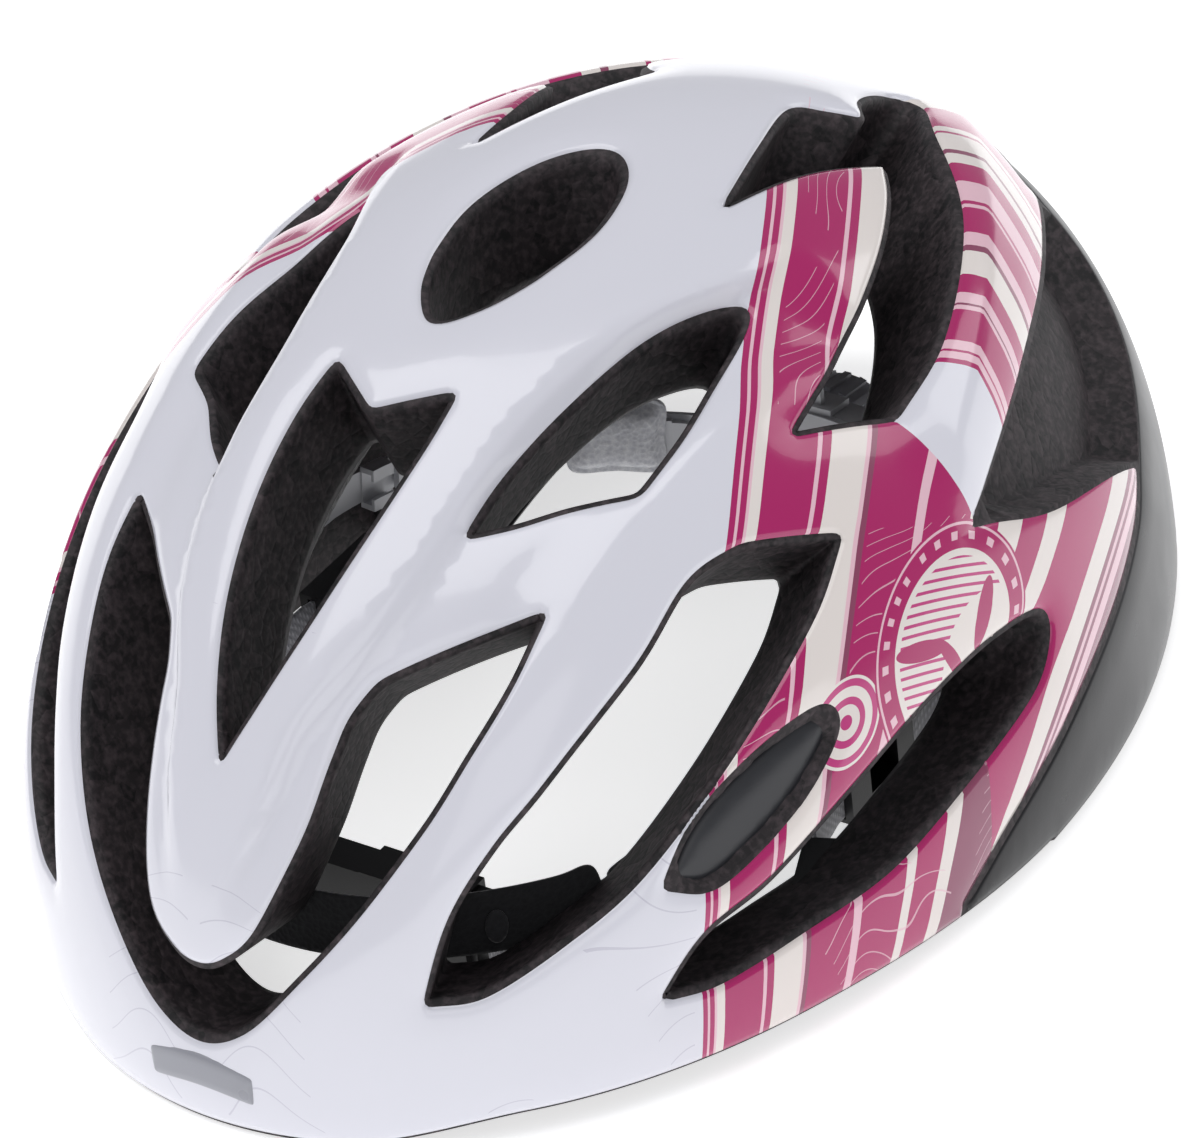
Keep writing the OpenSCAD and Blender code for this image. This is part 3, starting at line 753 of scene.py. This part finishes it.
def strip(first: int, second: int, count: int, flip: bool = False) -> list[list[int]]:
    """Quads between two closed rings of points that start at two indices."""
    out = []
    for k in range(count):
        j = (k + 1) % count
        quad = [first + k, first + j, second + j, second + k]
        out.append(quad[::-1] if flip else quad)
    return out


# ---- sub-assemblies --------------------------------------------------------------


@dataclass
class Shells:
    """The printed upper shell and the black lower shell."""

    layout: Layout
    lip: float = 1.1
    skirt: float = 2.2
    edge_fall: float = 0.9
    fall_width: float = 7.0
    crown_step: float = 3.0
    rib_rise: float = 2.2
    rib_width: float = 15.0
    base_depth: float = 0.9
    seam_gap: float = 0.12
    seam_end: float = 0.4

    def build(self) -> None:
        """Builds both shells and sets them on the helmet body."""
        self.upper()
        self.lower()

    def outer_rim(self) -> Array:
        """[u, v] of the shells' lower edge."""
        turn = np.radians(np.arange(0, 360, 0.5))
        flat = OUTER.point(OUTER.rim(turn, np.full(len(turn), 0.0)))
        lift = arch_height(flat[:, 1])
        for _ in range(6):
            lift = arch_height(OUTER.point(OUTER.rim(turn, lift))[:, 1])
        front = np.abs(np.degrees(turn) - 270.0)
        sweep = 4.5 * smooth(14, 34, front) * smooth(100, 60, front)
        return OUTER.rim(turn, np.maximum(lift, sweep))

    def relief(self, uv: Array, edge: Array) -> Array:
        """Depth in mm below the plain dome, from the shell's creases and lips.

        Args:
            uv: Points on the dome.
            edge: Distance of each point from the nearest edge of the shell, in mm.
        Returns:
            Depth per point.
        """
        lip = self.lip
        fall = np.clip(lip - edge, 0, lip)
        depth = lip - np.sqrt(np.maximum(lip ** 2 - fall ** 2, 0))
        depth += self.edge_fall * np.clip(1 - edge / self.fall_width, 0, 1) ** 2
        side = np.abs(uv[:, 0])
        crease = spline(CREASE, False, 0.4)
        order = np.argsort(crease[:, 1])
        bound = np.interp(uv[:, 1], crease[order, 1], crease[order, 0])
        out = side - bound
        front = smooth(6, 1, uv[:, 1]) * smooth(-74, -58, uv[:, 1])
        depth += self.crown_step * smooth(-0.9, 1.1, out) * front * smooth(16, 9, out)
        ridge = spline(RIDGE, False, 0.4)
        far = Ruler([ridge, mirrored(ridge)])(uv)
        depth -= self.rib_rise * np.clip(1 - far / self.rib_width, 0, 1) * smooth(-6, 4, uv[:, 1])
        return depth + self.base_depth

    def patch(self, name: str, outline: Array, holes: list[Array], lines: list[Array],
              guides: tuple[Array, ...], zones: Callable[[Array], Array] | None,
              finishes: list[Finish], node: str) -> None:
        """Builds one shell with rolled lips and sets it on the helmet.

        Args:
            name: Object name.
            outline: Its outer edge.
            holes: The edges of its openings.
            lines: Where one print meets another.
            guides: Lines that the surface is creased along.
            zones: Gives the print that each point lies in, or None for a plain shell.
            finishes: One finish for each zone.
            node: Frame node it stands for.
        """
        uv, faces = Skin(outline, holes, lines, guides=guides).triangulate()
        edge = Ruler([outline] + holes)(uv)
        points = OUTER.point(uv, self.relief(uv, edge))
        slots = zones(uv[faces].mean(axis=1)) if zones else np.zeros(len(faces))
        rows, quads, uvs, marks = [points], faces.tolist(), [uv], list(slots)
        start = len(points)
        for loop in [outline] + holes:
            wall = [OUTER.point(loop, self.relief(loop, np.zeros(len(loop))) + d)
                    for d in (0.0, self.skirt)]
            rows += wall
            uvs += [loop, loop]
            quads += strip(start, start + len(loop), len(loop))
            kind = zones(loop) if zones else np.zeros(len(loop))
            marks += list(kind)
            start += 2 * len(loop)
        made = build_mesh(name, np.vstack(rows), quads, np.vstack(uvs), np.array(marks), 0.02)
        for finish in finishes:
            finish.coat(made)
        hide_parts(node)
        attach(made, "helmet")
        log.info("%s: %d faces", name, len(made.data.polygons))

    def zone_of(self, uv: Array) -> Array:
        """Which print each point lies in."""
        flat = np.stack([np.abs(uv[:, 0]), uv[:, 1]], axis=1)
        seam, border = self.layout.upper_seam, self.layout.borders
        cut = seam[(seam[:, 0] >= 15) & (seam[:, 0] <= 57.61) & (seam[:, 1] > 0.9)]
        rib = np.vstack([border[3], cut, border[0][::-1], [(36, 6), (26, 22), (17, 27)]])
        rest = seam[(seam[:, 0] > 57.6) & (seam[:, 1] > -14)]
        panel = np.vstack([border[1][::-1], rest, [(96, 10), (96, -14.2)], border[2][::-1],
                           [(72, -8)]])
        out = np.where(inside(flat, rib), 1, 0)
        return np.where(inside(flat, panel), 2, out).astype(float)

    def outline(self, seam: Array, ahead: bool) -> Array:
        """The edge of the shell ahead of a seam or behind it, with the rim's part of it.

        Args:
            seam: Open line from the right rim over the back to the left rim.
            ahead: Whether the shell lies ahead of the seam.
        Returns:
            Closed loop of [u, v].
        """
        rim = self.outer_rim()
        angle = np.degrees(np.arctan2(rim[:, 1], rim[:, 0]))
        end = math.degrees(math.atan2(seam[-1, 1], seam[-1, 0]))
        if ahead:
            low, high, seam = -180 - end, end, seam[::-1]
        else:
            low, high, angle = end, 180 - end, np.where(angle < -90, angle + 360, angle)
        order = np.argsort(angle)
        rows = order[(angle[order] > low + self.seam_end) & (angle[order] < high - self.seam_end)]
        return moved_in(np.vstack([rim[rows], seam]), self.seam_gap)

    def upper(self) -> None:
        """Builds the printed shell over everything ahead of the seam."""
        layout = self.layout
        holes = [loop for name, loop in layout.vents.items() if not name.startswith("rear")]
        self.patch("Upper_shell", self.outline(layout.upper_seam, True), holes + layout.dishes,
                   layout.borders, layout.creases, self.zone_of, [SHELL[zone] for zone in Zone],
                   "upper_shell")

    def lower(self) -> None:
        """Builds the black shell behind and below the seam."""
        holes = [self.layout.vents["rear_left"], self.layout.vents["rear_right"]]
        self.patch("Lower_shell", self.outline(self.layout.lower_seam, False), holes, [], (),
                   None, [TAIL], "lower_shell")


@dataclass
class Liner:
    """The foam body: outer skin under the shells, vent walls and head cavity."""

    layout: Layout
    shells: Shells
    proud: float = 0.42
    rim_inset: float = 0.1
    cavity_inset: float = -0.6
    rounding: float = -0.5
    nape_lift: float = 46.0
    film: float = 0.75
    channel_sink: float = 8.0
    dish_sink: float = 5.0
    wall_steps: int = 9
    floor_steps: int = 9

    def inner_rim(self, count: int) -> Array:
        """[u, v] on the cavity where the underside meets it."""
        turn = np.radians(np.arange(0, 360, 360 / count))
        away = np.abs((np.degrees(turn) - 90 + 180) % 360 - 180)
        return CAVE.rim(turn, self.nape_lift * smooth(62, 6, away))

    def outer_depth(self, uv: Array, edge: Array) -> Array:
        """Depth in mm of the foam's outer face, with the side channels sunk in it."""
        depth = self.shells.relief(uv, edge + 0.4) + self.film
        for loops, sink, round_mm in ((self.layout.channels, self.channel_sink, 3.0),
                                      (self.layout.dishes, self.dish_sink, 1.2)):
            for loop in loops:
                near = Ruler([loop])(uv)
                depth = depth + np.where(inside(uv, loop), sink * smooth(0, round_mm, near), 0)
        return depth

    def edge_points(self, loop: Array, at: Array) -> Array:
        """Points on the foam's outer face along an edge, drawn at slightly other places."""
        return OUTER.point(at, self.outer_depth(loop, np.zeros(len(loop))))

    def wall(self, loop: Array, inner: Array) -> list[Array]:
        """Rings of points down a vent's wall, the last one rounding into the cavity."""
        top, low = self.edge_points(loop, loop), CAVE.point(inner, -2.0)
        rings = [top + (low - top) * t for t in np.linspace(0, 1, self.wall_steps + 1)]
        return rings + [CAVE.point(moved_in(inner, self.rounding), 0.0)]

    def underside(self, rim: Array, inner_rim: Array) -> list[Array]:
        """Rings of points under the rim, from the outer face to the cavity."""
        outer = self.edge_points(rim, moved_in(rim, self.rim_inset))
        inner = CAVE.point(inner_rim)
        rings = []
        for t in np.linspace(0, 1, self.floor_steps + 1):
            ring = outer + (inner - outer) * t
            ring[:, 2] = np.maximum(outer[:, 2] + (inner[:, 2] - outer[:, 2]) * t ** 1.6, 0.0)
            rings.append(ring)
        return rings

    def build(self) -> None:
        """Builds the foam as one closed mesh."""
        vents = [moved_in(loop, self.proud) for loop in self.layout.vents.values()]
        rim = self.shells.outer_rim()
        lines = self.layout.channels + self.layout.dishes
        uv, faces = Skin(moved_in(rim, self.rim_inset), vents, lines).triangulate()
        rows = [OUTER.point(uv, self.outer_depth(uv, Ruler([rim] + vents)(uv)))]
        quads, start, holes = faces.tolist(), len(uv), []
        for name, loop in zip(self.layout.vents, vents):
            inner = moved_in(loop * 0.88 if name.startswith("rear") else loop, self.cavity_inset)
            holes.append(moved_in(inner, self.rounding))
            rings, n = self.wall(loop, inner), len(loop)
            rows += rings
            for k in range(len(rings) - 1):
                quads += strip(start + k * n, start + (k + 1) * n, n)
            start += len(rings) * n
        inner_rim, n = self.inner_rim(len(rim)), len(rim)
        cave_uv, cave_faces = Skin(inner_rim, holes, [], 2.0, (1.0,)).triangulate()
        rows.append(CAVE.point(cave_uv))
        quads += [[start + a for a in face[::-1]] for face in cave_faces.tolist()]
        start += len(cave_uv)
        rings = self.underside(rim, inner_rim)
        rows += rings
        for k in range(len(rings) - 1):
            quads += strip(start + k * n, start + (k + 1) * n, n, True)
        made = build_mesh("Foam_liner", np.vstack(rows), quads, weld=0.03)
        FOAM.coat(made)
        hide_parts("foam_liner")
        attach(made, "helmet")
        log.info("Foam_liner: %d faces", len(made.data.polygons))


@dataclass
class Crowned:
    """A closed soft form on a surface: welded flat round its edge, full in the middle."""

    place: Place
    base: float
    rise: float
    flange: float = 1.3
    swell: float = 6.0
    channels: tuple[Array, ...] = ()

    def build(self, name: str, outline: Array, finish: Finish, body: str, node: str,
              fill: float | None = 0.8) -> None:
        """Builds the form over an outline and sets it on a body.

        Args:
            name: Object name.
            outline: Closed loop in the surface's coordinates.
            finish: Surface finish.
            body: Body it rides on.
            node: Frame node it stands for.
            fill: Firmness of a padded piece, or None for a hard one; not used.
        """
        uv, faces = Skin(outline, [], [], 1.0, (0.45, 1.0)).triangulate()
        edge = Ruler([outline], self.place)(uv)
        t = np.clip((edge - self.flange) / self.swell, 0, 1)
        low = min(0.9, self.rise * 0.3)
        height = low + (self.rise - low) * np.sqrt(1 - (1 - t) ** 2)
        height -= 0.25 * np.exp(-((edge - self.flange) / 0.5) ** 2) * low
        for line in self.channels:
            near = Ruler([line], self.place)(uv)
            height -= (height - low) * 0.62 * np.exp(-(near / 1.7) ** 2)
        top, bottom = self.place(uv, self.base + height), self.place(uv, self.base)
        quads = faces.tolist() + [[len(uv) + a for a in f[::-1]] for f in faces.tolist()]
        quads += strip(0, len(uv), len(outline))
        made = build_mesh(name, np.vstack([top, bottom]), quads, np.vstack([uv, uv]), weld=0.001)
        finish.coat(made)
        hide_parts(node)
        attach(made, body)
        log.info("%s: %d faces", name, len(made.data.polygons))


#: The retention ring: its slope, the radius and centre of its bands' inside, the height in mm
#: that one degree of arc stands for, and the y and z of its pins.
RING_TILT, RING_RADIUS, RING_CENTRE, RING_RISE = math.radians(9.0), 67.25, 56.0, 1.17
RING_PIN = (-46.88, 34.0)


def ring_place(uv: Array, depth: Any) -> Array:
    """Points on the inside of the left adjusting band.

    Args:
        uv: Rows of angle from the rear and height, both in degrees of arc.
        depth: Distance in mm towards the head.
    Returns:
        Rows of x, y, z in mm.
    """
    a, c, s = np.radians(uv[:, 0]), math.cos(RING_TILT), math.sin(RING_TILT)
    r, z = RING_RADIUS - depth, uv[:, 1] * RING_RISE
    x, y = r * np.sin(a), RING_CENTRE + r * np.cos(a)
    return np.stack([x, y * c + z * s + RING_PIN[0], z * c - y * s + RING_PIN[1]], axis=1)


def arc(radius: float, turns: Iterable[float]) -> list[tuple[float, float]]:
    """Points at a distance from the crown, at angles in degrees from the left."""
    return [(radius * math.cos(math.radians(a)), radius * math.sin(math.radians(a)))
            for a in turns]


@dataclass
class Padding:
    """The comfort pads and their hook discs."""

    lift: float = 1.0
    rise: float = 5.0
    brow_reach: tuple[float, float] = (70.9, 78.0)
    disc_radius: float = 1.9

    def knit(self, name: str, outline: Array, node: str, swell: float = 4.0,
             channels: tuple[Array, ...] = ()) -> None:
        """Builds one black pad in the head cavity."""
        Crowned(CAVE.point, self.lift, self.rise, swell=swell, channels=channels).build(
            name, outline, PAD, "helmet", node)

    def brow(self) -> None:
        """Builds the brow pad, quilted across in three places."""
        low, high = self.brow_reach
        outline = arc(low, range(-134, -45, 4)) + arc(high, range(-46, -135, -4))
        quilts = tuple(np.vstack([arc(r, [a]) for r in np.arange(70, 79, 0.5)])
                       for a in (-113, -90, -67))
        Crowned(CAVE.point, self.lift, self.rise, 1.2, 4.5, quilts).build(
            "Brow_pad", rounded(spline(outline, True, 0.6), 8), PAD, "helmet", "brow_pad")

    def cradle(self) -> None:
        """Builds the pads on the two adjusting bands."""
        points = [(26.5, -6.6), (35, -6.8), (43, -6.4), (43.3, 0), (43, 6.4), (35, 6.8),
                  (26.5, 6.6), (26.2, 0)]
        loop = rounded(spline(points, True, 0.5), 6)
        for sign, tag in ((1, "left"), (-1, "right")):
            def place(uv: Array, depth: Any, sign: int = sign) -> Array:
                """Points inside the band of this side."""
                return ring_place(uv, depth) * [sign, 1, 1]
            Crowned(place, 0.0, 4.0, swell=4.0).build(
                f"Cradle_pad_{tag}", loop, PALE_PAD, f"{tag}_band", f"cradle_pad_{tag}")

    def discs(self) -> None:
        """Builds the hook discs under the pads."""
        spots = [(0, -75), (-39, -64), (39, -64), (12, -36), (-12, -36), (12, -4), (-12, -4),
                 (0, 15), (0, 32), (59, -20), (-59, -20), (60, 0), (-60, 0)]
        ring = np.array(arc(self.disc_radius, range(0, 360, 18)))
        for k, spot in enumerate(spots):
            Crowned(CAVE.point, 0.35, 0.6, 0.2, 0.4).build(
                f"Hook_disc_{k + 1:02d}", spot + ring, HOOK, "helmet", "hook_dots", None)

    def build(self) -> None:
        """Builds every pad."""
        self.brow()
        crown = [(9.5, -44), (14, -40.5), (15, -32), (15.5, -20), (15.5, -8), (13, 2), (9.5, 2),
                 (9.5, -8), (9.5, -20), (9.5, -32)]
        temple = [(55.5, -26), (60, -27), (63, -19), (64, -10), (65, 0), (63, 9), (57.5, 9),
                  (56, 0), (55, -10), (55.5, -19)]
        for name, points, node in (("Crown_pad", crown, "crown_pads"),
                                   ("Side_pad", temple, "side_pads")):
            loop = rounded(spline(points, True, 0.6), 6)
            self.knit(name + "_left", loop, node)
            self.knit(name + "_right", mirrored(loop), node)
        nape = [(-5, 10), (5, 10), (7, 18), (7, 28), (8, 36), (-8, 36), (-7, 28), (-7, 18)]
        fold = np.array([(u, 23.0) for u in np.arange(-8, 8, 0.5)])
        self.knit("Nape_pad", rounded(spline(nape, True, 0.6), 6), "crown_pads", 5.0, (fold,))
        self.cradle()
        self.discs()


@dataclass
class Trim:
    """The dish inserts and the blank plaque."""

    layout: Layout
    insert_depth: float = 4.9
    insert_slope: float = 0.22
    plaque_depth: float = 1.6

    def build(self) -> None:
        """Builds both inserts and the plaque."""
        for loop, tag, sign in zip(self.layout.dishes, ("left", "right"), (1, -1)):
            ends = np.array([(54.4, -46.5), (59.4, -25.5)]) * [sign, 1]
            fold = np.array([ends[0] + (ends[1] - ends[0]) * t for t in np.linspace(0, 1, 60)])

            def sunk(uv: Array, depth: Any, fold: Array = fold) -> Array:
                """Points on a face that slopes up to a fold along the dish."""
                far = np.min(np.linalg.norm(uv[:, None] - fold[None], axis=2), axis=1)
                return OUTER.point(uv, self.insert_depth - depth + self.insert_slope * far)
            Crowned(sunk, 0.0, 2.2, 0.0, 2.5).build(
                f"Side_insert_{tag}", moved_in(loop, 0.25), TRIM, "helmet", "side_inserts", None)
        plate = [(-10, -84.6), (-9.2, -84.1), (0, -83.9), (9.2, -84.1), (10, -84.6),
                 (10, -86.6), (9.2, -87.1), (0, -87.1), (-9.2, -87.1), (-10, -86.6)]

        def proud(uv: Array, depth: Any) -> Array:
            """Points on a face that stands just proud of the shell."""
            return OUTER.point(uv, self.plaque_depth - depth)
        Crowned(proud, 0.0, 0.95, 0.0, 0.8).build(
            "Front_plaque", rounded(spline(plate, True, 0.4), 4), PLAQUE, "helmet",
            "front_badge", None)


def curve(points: Outline, t: float) -> Array:
    """Point on a cubic curve with four control points."""
    p = np.array(points, float)
    return ((1 - t) ** 3 * p[0] + 3 * t * (1 - t) ** 2 * p[1] + 3 * t * t * (1 - t) * p[2]
            + t ** 3 * p[3])


@dataclass
class Webbing:
    """The straps, laid on edge inside the rim, and the chin pad."""

    low: float = 4.0
    width: float = 14.0
    thick: float = 1.2
    stitch_rows: int = 3
    stitches: int = 12
    row_gap: float = 1.7
    stitch_gap: float = 1.05
    hem_start: float = 0.985
    hem_tack: float = 0.93
    web_tack: float = 0.3
    shift: float = 3.12

    def sweep(self, name: str, path: Array, profile: Callable[[float], Array],
              finish: Finish, node: str) -> bpy.types.Object:
        """Sweeps a closed cross-section along a plan path.

        Args:
            name: Object name.
            path: Rows of x, y in mm, evenly spaced.
            profile: Gives rows of sideways, height in mm at a share of the length.
            finish: Surface finish.
            node: Frame node it stands for.
        Returns:
            The new object.
        """
        tangent = np.gradient(path, axis=0)
        tangent /= np.linalg.norm(tangent, axis=1, keepdims=True)
        run = np.concatenate([[0], np.cumsum(np.linalg.norm(np.diff(path, axis=0), axis=1))])
        rows, uvs = [], []
        for k, (spot, way) in enumerate(zip(path, tangent)):
            cut = profile(k / (len(path) - 1))
            side = np.array([-way[1], way[0]])
            rows.append(np.column_stack([spot + cut[:, :1] * side,
                                         cut[:, 1] + self.low + self.width / 2]))
            uvs.append(np.column_stack([np.full(len(cut), run[k]), cut[:, 1]]))
        n = len(rows[0])
        quads = [quad for k in range(len(rows) - 1) for quad in strip(k * n, (k + 1) * n, n)]
        quads += [list(range(n))[::-1], [(len(rows) - 1) * n + k for k in range(n)]]
        made = build_mesh(name, np.vstack(rows), quads, np.vstack(uvs), weld=0.0005)
        finish.coat(made)
        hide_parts(node)
        return made

    def tape(self, share: float) -> Array:
        """Cross-section of the webbing with rounded selvedges."""
        a, b = self.thick / 2, self.width / 2
        turn = np.linspace(0, 2 * math.pi, 28, endpoint=False)
        x = a * np.sign(np.cos(turn)) * np.abs(np.cos(turn)) ** 0.35
        z = b * np.sign(np.sin(turn)) * np.abs(np.sin(turn)) ** 0.7
        return np.stack([x, z + 0.12 * math.sin(share * 40)], axis=1)

    def pad(self, share: float) -> Array:
        """Cross-section of the chin pad: two crowned faces welded along both long edges."""
        full = max(1 - abs(2 * share - 1) ** 5, 0.0) ** 0.5
        turn = np.linspace(0, 2 * math.pi, 40, endpoint=False)
        x = np.sign(np.cos(turn)) * (0.8 + 2.1 * full * np.abs(np.cos(turn)) ** 1.2)
        z = (7.2 + 1.2 * full) * np.sin(turn)
        return np.stack([x, z], axis=1)

    def line(self, control: Outline, start: float, end: float,
             tail: Outline = ()) -> Array:
        """Evenly spaced plan path along a cubic curve and then through extra points."""
        rows = [curve(control, t) for t in np.linspace(start, end, 24)]
        rows = np.vstack(rows + [np.array(p) for p in tail]) + [0, self.shift]
        return spline([tuple(r) for r in rows], False, 0.8)

    def tack(self, name: str, path: Array, share: float, node: str, body: str) -> None:
        """Sews a bar tack of slanted stitches through the tape.

        Args:
            name: Object name.
            path: The tape's plan path in mm.
            share: Where along the path the tack's middle lies, from 0 to 1.
            node: Frame node it belongs to.
            body: Body it rides on.
        """
        k = int(share * (len(path) - 1))
        way = (path[k + 1] - path[k - 1]) / np.linalg.norm(path[k + 1] - path[k - 1])
        side, height = np.array([-way[1], way[0]]), self.low + self.width / 2
        turn = np.linspace(0, 2 * math.pi, 6, endpoint=False)
        rows, quads = [], []
        for face in (-1, 1):
            for row in range(self.stitch_rows):
                for step in range(self.stitches):
                    mid = np.append(path[k] + way * (row - 1) * self.row_gap
                                    + side * face * (self.thick / 2 + 0.06), height)
                    mid[2] += (step - (self.stitches - 1) / 2) * self.stitch_gap
                    slant = np.append(way * 0.35 * (-1) ** step, 0.5)
                    start = sum(len(r) for r in rows)
                    for along, size in ((-1.0, 0.08), (0.0, 0.19), (1.0, 0.08)):
                        ring = np.outer(np.cos(turn), np.append(side, 0)) + np.outer(
                            np.sin(turn), np.append(way, 0))
                        rows.append(mid + slant * along + ring * size)
                    quads += strip(start, start + 6, 6) + strip(start + 6, start + 12, 6)
                    quads += [[start + i for i in range(5, -1, -1)],
                              [start + 12 + i for i in range(6)]]
        made = build_mesh(name, np.vstack(rows), quads, weld=0.0001)
        THREAD.coat(made)
        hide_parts(node)
        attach(made, body)

    def build(self) -> None:
        """Builds the six straps, their bar tacks and the chin pad."""
        webs = {"front": [(72.4, -44.6), (67, -36), (61.5, -30), (61, -13.6)],
                "rear": [(72.6, 27), (72, 19), (61.5, 18), (61, 3.6)]}
        for name, control in webs.items():
            for sign, tag in ((1, "left"), (-1, "right")):
                path = self.line([(sign * x, y) for x, y in control], 0, 1)
                node = f"{name}_web_{tag}"
                made = self.sweep(f"Webbing_{name}_{tag}", path, self.tape, TAPE, node)
                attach(made, "helmet")
                self.tack(f"Bar_tack_{name}_{tag}", path, self.web_tack, node, "helmet")
        left = [(59, -13), (40, -14), (52, -72), (29.6, -80.4)]
        right = [(-59, -13), (-46, -14), (-62, -72), (-29.6, -80.4)]
        hem = [(27.6, -81.6), (26.8, -84), (27.8, -86.6), (31, -87.9), (35, -87.7), (42, -84.6),
               (47, -80)]
        path = self.line(left, 0, self.hem_start, hem)
        made = self.sweep("Chin_webbing_left", path, self.tape, TAPE, "chin_strap_left")
        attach(made, "helmet")
        self.tack("Bar_tack_chin_left", path, self.hem_tack, "chin_strap_left", "helmet")
        path = self.line(right, 0, self.hem_start, [(-x, y) for x, y in hem])
        self.tack("Bar_tack_chin_right", path, self.hem_tack, "chin_strap_right",
                  "buckle_tongue")
        made = self.sweep("Chin_webbing_right", path, self.tape, TAPE, "chin_strap_right")
        start, end = (tuple(curve(right, t) * MM) + (0.011,) for t in (0.1, 0.78))
        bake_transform(made)
        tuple(start)
        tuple(end)
        made = self.sweep("Chin_pad", self.line(left, 0.4, 0.74), self.pad, PAD, "chin_pad")
        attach(made, "helmet")
        log.info("Webbing: 6 straps and the chin pad")


@dataclass
class Hardware:
    """The moulded fittings, whose shapes come from the frame."""

    nodes: dict[str, bpy.types.Object]
    bevel_mm: float = 0.35

    def dress(self, finish: Finish, *names: str) -> None:
        """Gives frame nodes their finish, and softened edges unless they are steel."""
        for name in names:
            piece = self.nodes[name]
            piece.data.materials.clear()
            piece.data.materials.append(finish.build())
            if finish is not STEEL:
                made = piece.modifiers.new("Soft_edges", "BEVEL")
                made.width = self.bevel_mm * MM
                made.segments = 2
                made.limit_method = "ANGLE"
                made.harden_normals = False
            log.info("%s: %s", name, finish.name)

    def build(self) -> None:
        """Dresses every fitting."""
        self.dress(NYLON, "ring_frame", "dial_housing", "housing_cover", "height_post",
                   "band_left", "band_right", "dial_pinion", "lever_left", "lever_right",
                   "temple_pins")
        self.dress(BLACK_NYLON, "rear_guide", "strap_anchors", "divider_left", "divider_right",
                   "buckle_female", "buckle_male", "keeper_rings")
        self.dress(STEEL, "housing_screws", "detent_spring")
        self.dress(KNOB, "dial_knob")


@dataclass
class Studio:
    """Pale floor, soft lights and the camera."""

    azimuth: float = 37.1
    elevation: float = 34.9
    roll: float = 7.3
    distance: float = 1.2
    lens: float = 186.8
    target: tuple[float, float, float] = (0.0035, -0.0035, 0.0383)
    floor_size: float = 6.0
    floor_gap: float = 0.0004
    sky_strength: float = 0.4

    def camera(self) -> None:
        """Places the scene's camera."""
        a, e, roll = (math.radians(x) for x in (self.azimuth, self.elevation, self.roll))
        back = Vector((math.sin(a) * math.cos(e), -math.cos(a) * math.cos(e), math.sin(e)))
        right = Vector((math.cos(a), math.sin(a), 0.0))
        up = back.cross(right)
        axis_x = right * math.cos(roll) - up * math.sin(roll)
        axis_y = right * math.sin(roll) + up * math.cos(roll)
        data = bpy.data.cameras.new("Camera")
        data.lens = self.lens
        data.clip_end = 20.0
        cam = bpy.data.objects.new("Camera", data)
        bpy.context.scene.collection.objects.link(cam)
        turn = Matrix((axis_x, axis_y, back)).transposed().to_4x4()
        cam.matrix_world = Matrix.Translation(Vector(self.target) + back * self.distance) @ turn
        bpy.context.scene.camera = cam

    def light(self, name: str, place: Sequence[float], size: float, power: float) -> None:
        """Adds one soft area light aimed at the helmet."""
        data = bpy.data.lights.new(name, "AREA")
        data.size = size
        data.energy = power
        made = bpy.data.objects.new(name, data)
        made.location = place
        made.rotation_euler = (Vector((0, 0, 0.05)) - Vector(place)).to_track_quat(
            "-Z", "Y").to_euler()
        bpy.context.scene.collection.objects.link(made)

    def floor(self) -> None:
        """Lays the pale floor just under the rim."""
        mesh = bpy.data.meshes.new("Floor")
        work = bmesh.new()
        bmesh.ops.create_grid(work, x_segments=4, y_segments=4, size=self.floor_size)
        work.to_mesh(mesh)
        work.free()
        floor = bpy.data.objects.new("Floor", mesh)
        floor.location.z = -self.floor_gap
        bpy.context.scene.collection.objects.link(floor)
        paper = bpy.data.materials.new("Paper_backdrop_matt")
        paper.use_nodes = True
        shader = paper.node_tree.nodes["Principled BSDF"]
        for key, value in {"Base Color": linear("#F6F6F6"), "Roughness": 0.9,
                           "Emission Color": linear("#FFFFFF"), "Emission Strength": 0.62}.items():
            feed(shader, key, value)
        floor.data.materials.append(paper)

    def build(self) -> None:
        """Builds floor, lights and camera."""
        self.camera()
        self.floor()
        world = bpy.data.worlds.new("World")
        bpy.context.scene.world = world
        world.use_nodes = True
        sky = world.node_tree.nodes["Background"]
        feed(sky, "Color", linear("#F4F5FA"))
        feed(sky, "Strength", self.sky_strength)
        self.light("Key", (-0.5, -0.2, 2.2), 2.0, 26.0)
        self.light("Fill", (1.3, -1.3, 0.9), 1.2, 3.5)
        self.light("Back", (0.9, 1.4, 1.0), 1.0, 5.0)
        bpy.context.scene.view_settings.view_transform = "Standard"
        log.info("Studio ready")


def main() -> None:
    """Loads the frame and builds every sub-assembly in order."""
    logging.basicConfig(level=logging.INFO, format="%(name)s: %(message)s")
    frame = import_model()
    Studio().build()
    layout = Layout()
    shells = Shells(layout)
    shells.build()
    Liner(layout, shells).build()
    Padding().build()
    Trim(layout).build()
    Webbing().build()
    Hardware(frame["nodes"]).build()


if __name__ == "__main__":
    main()
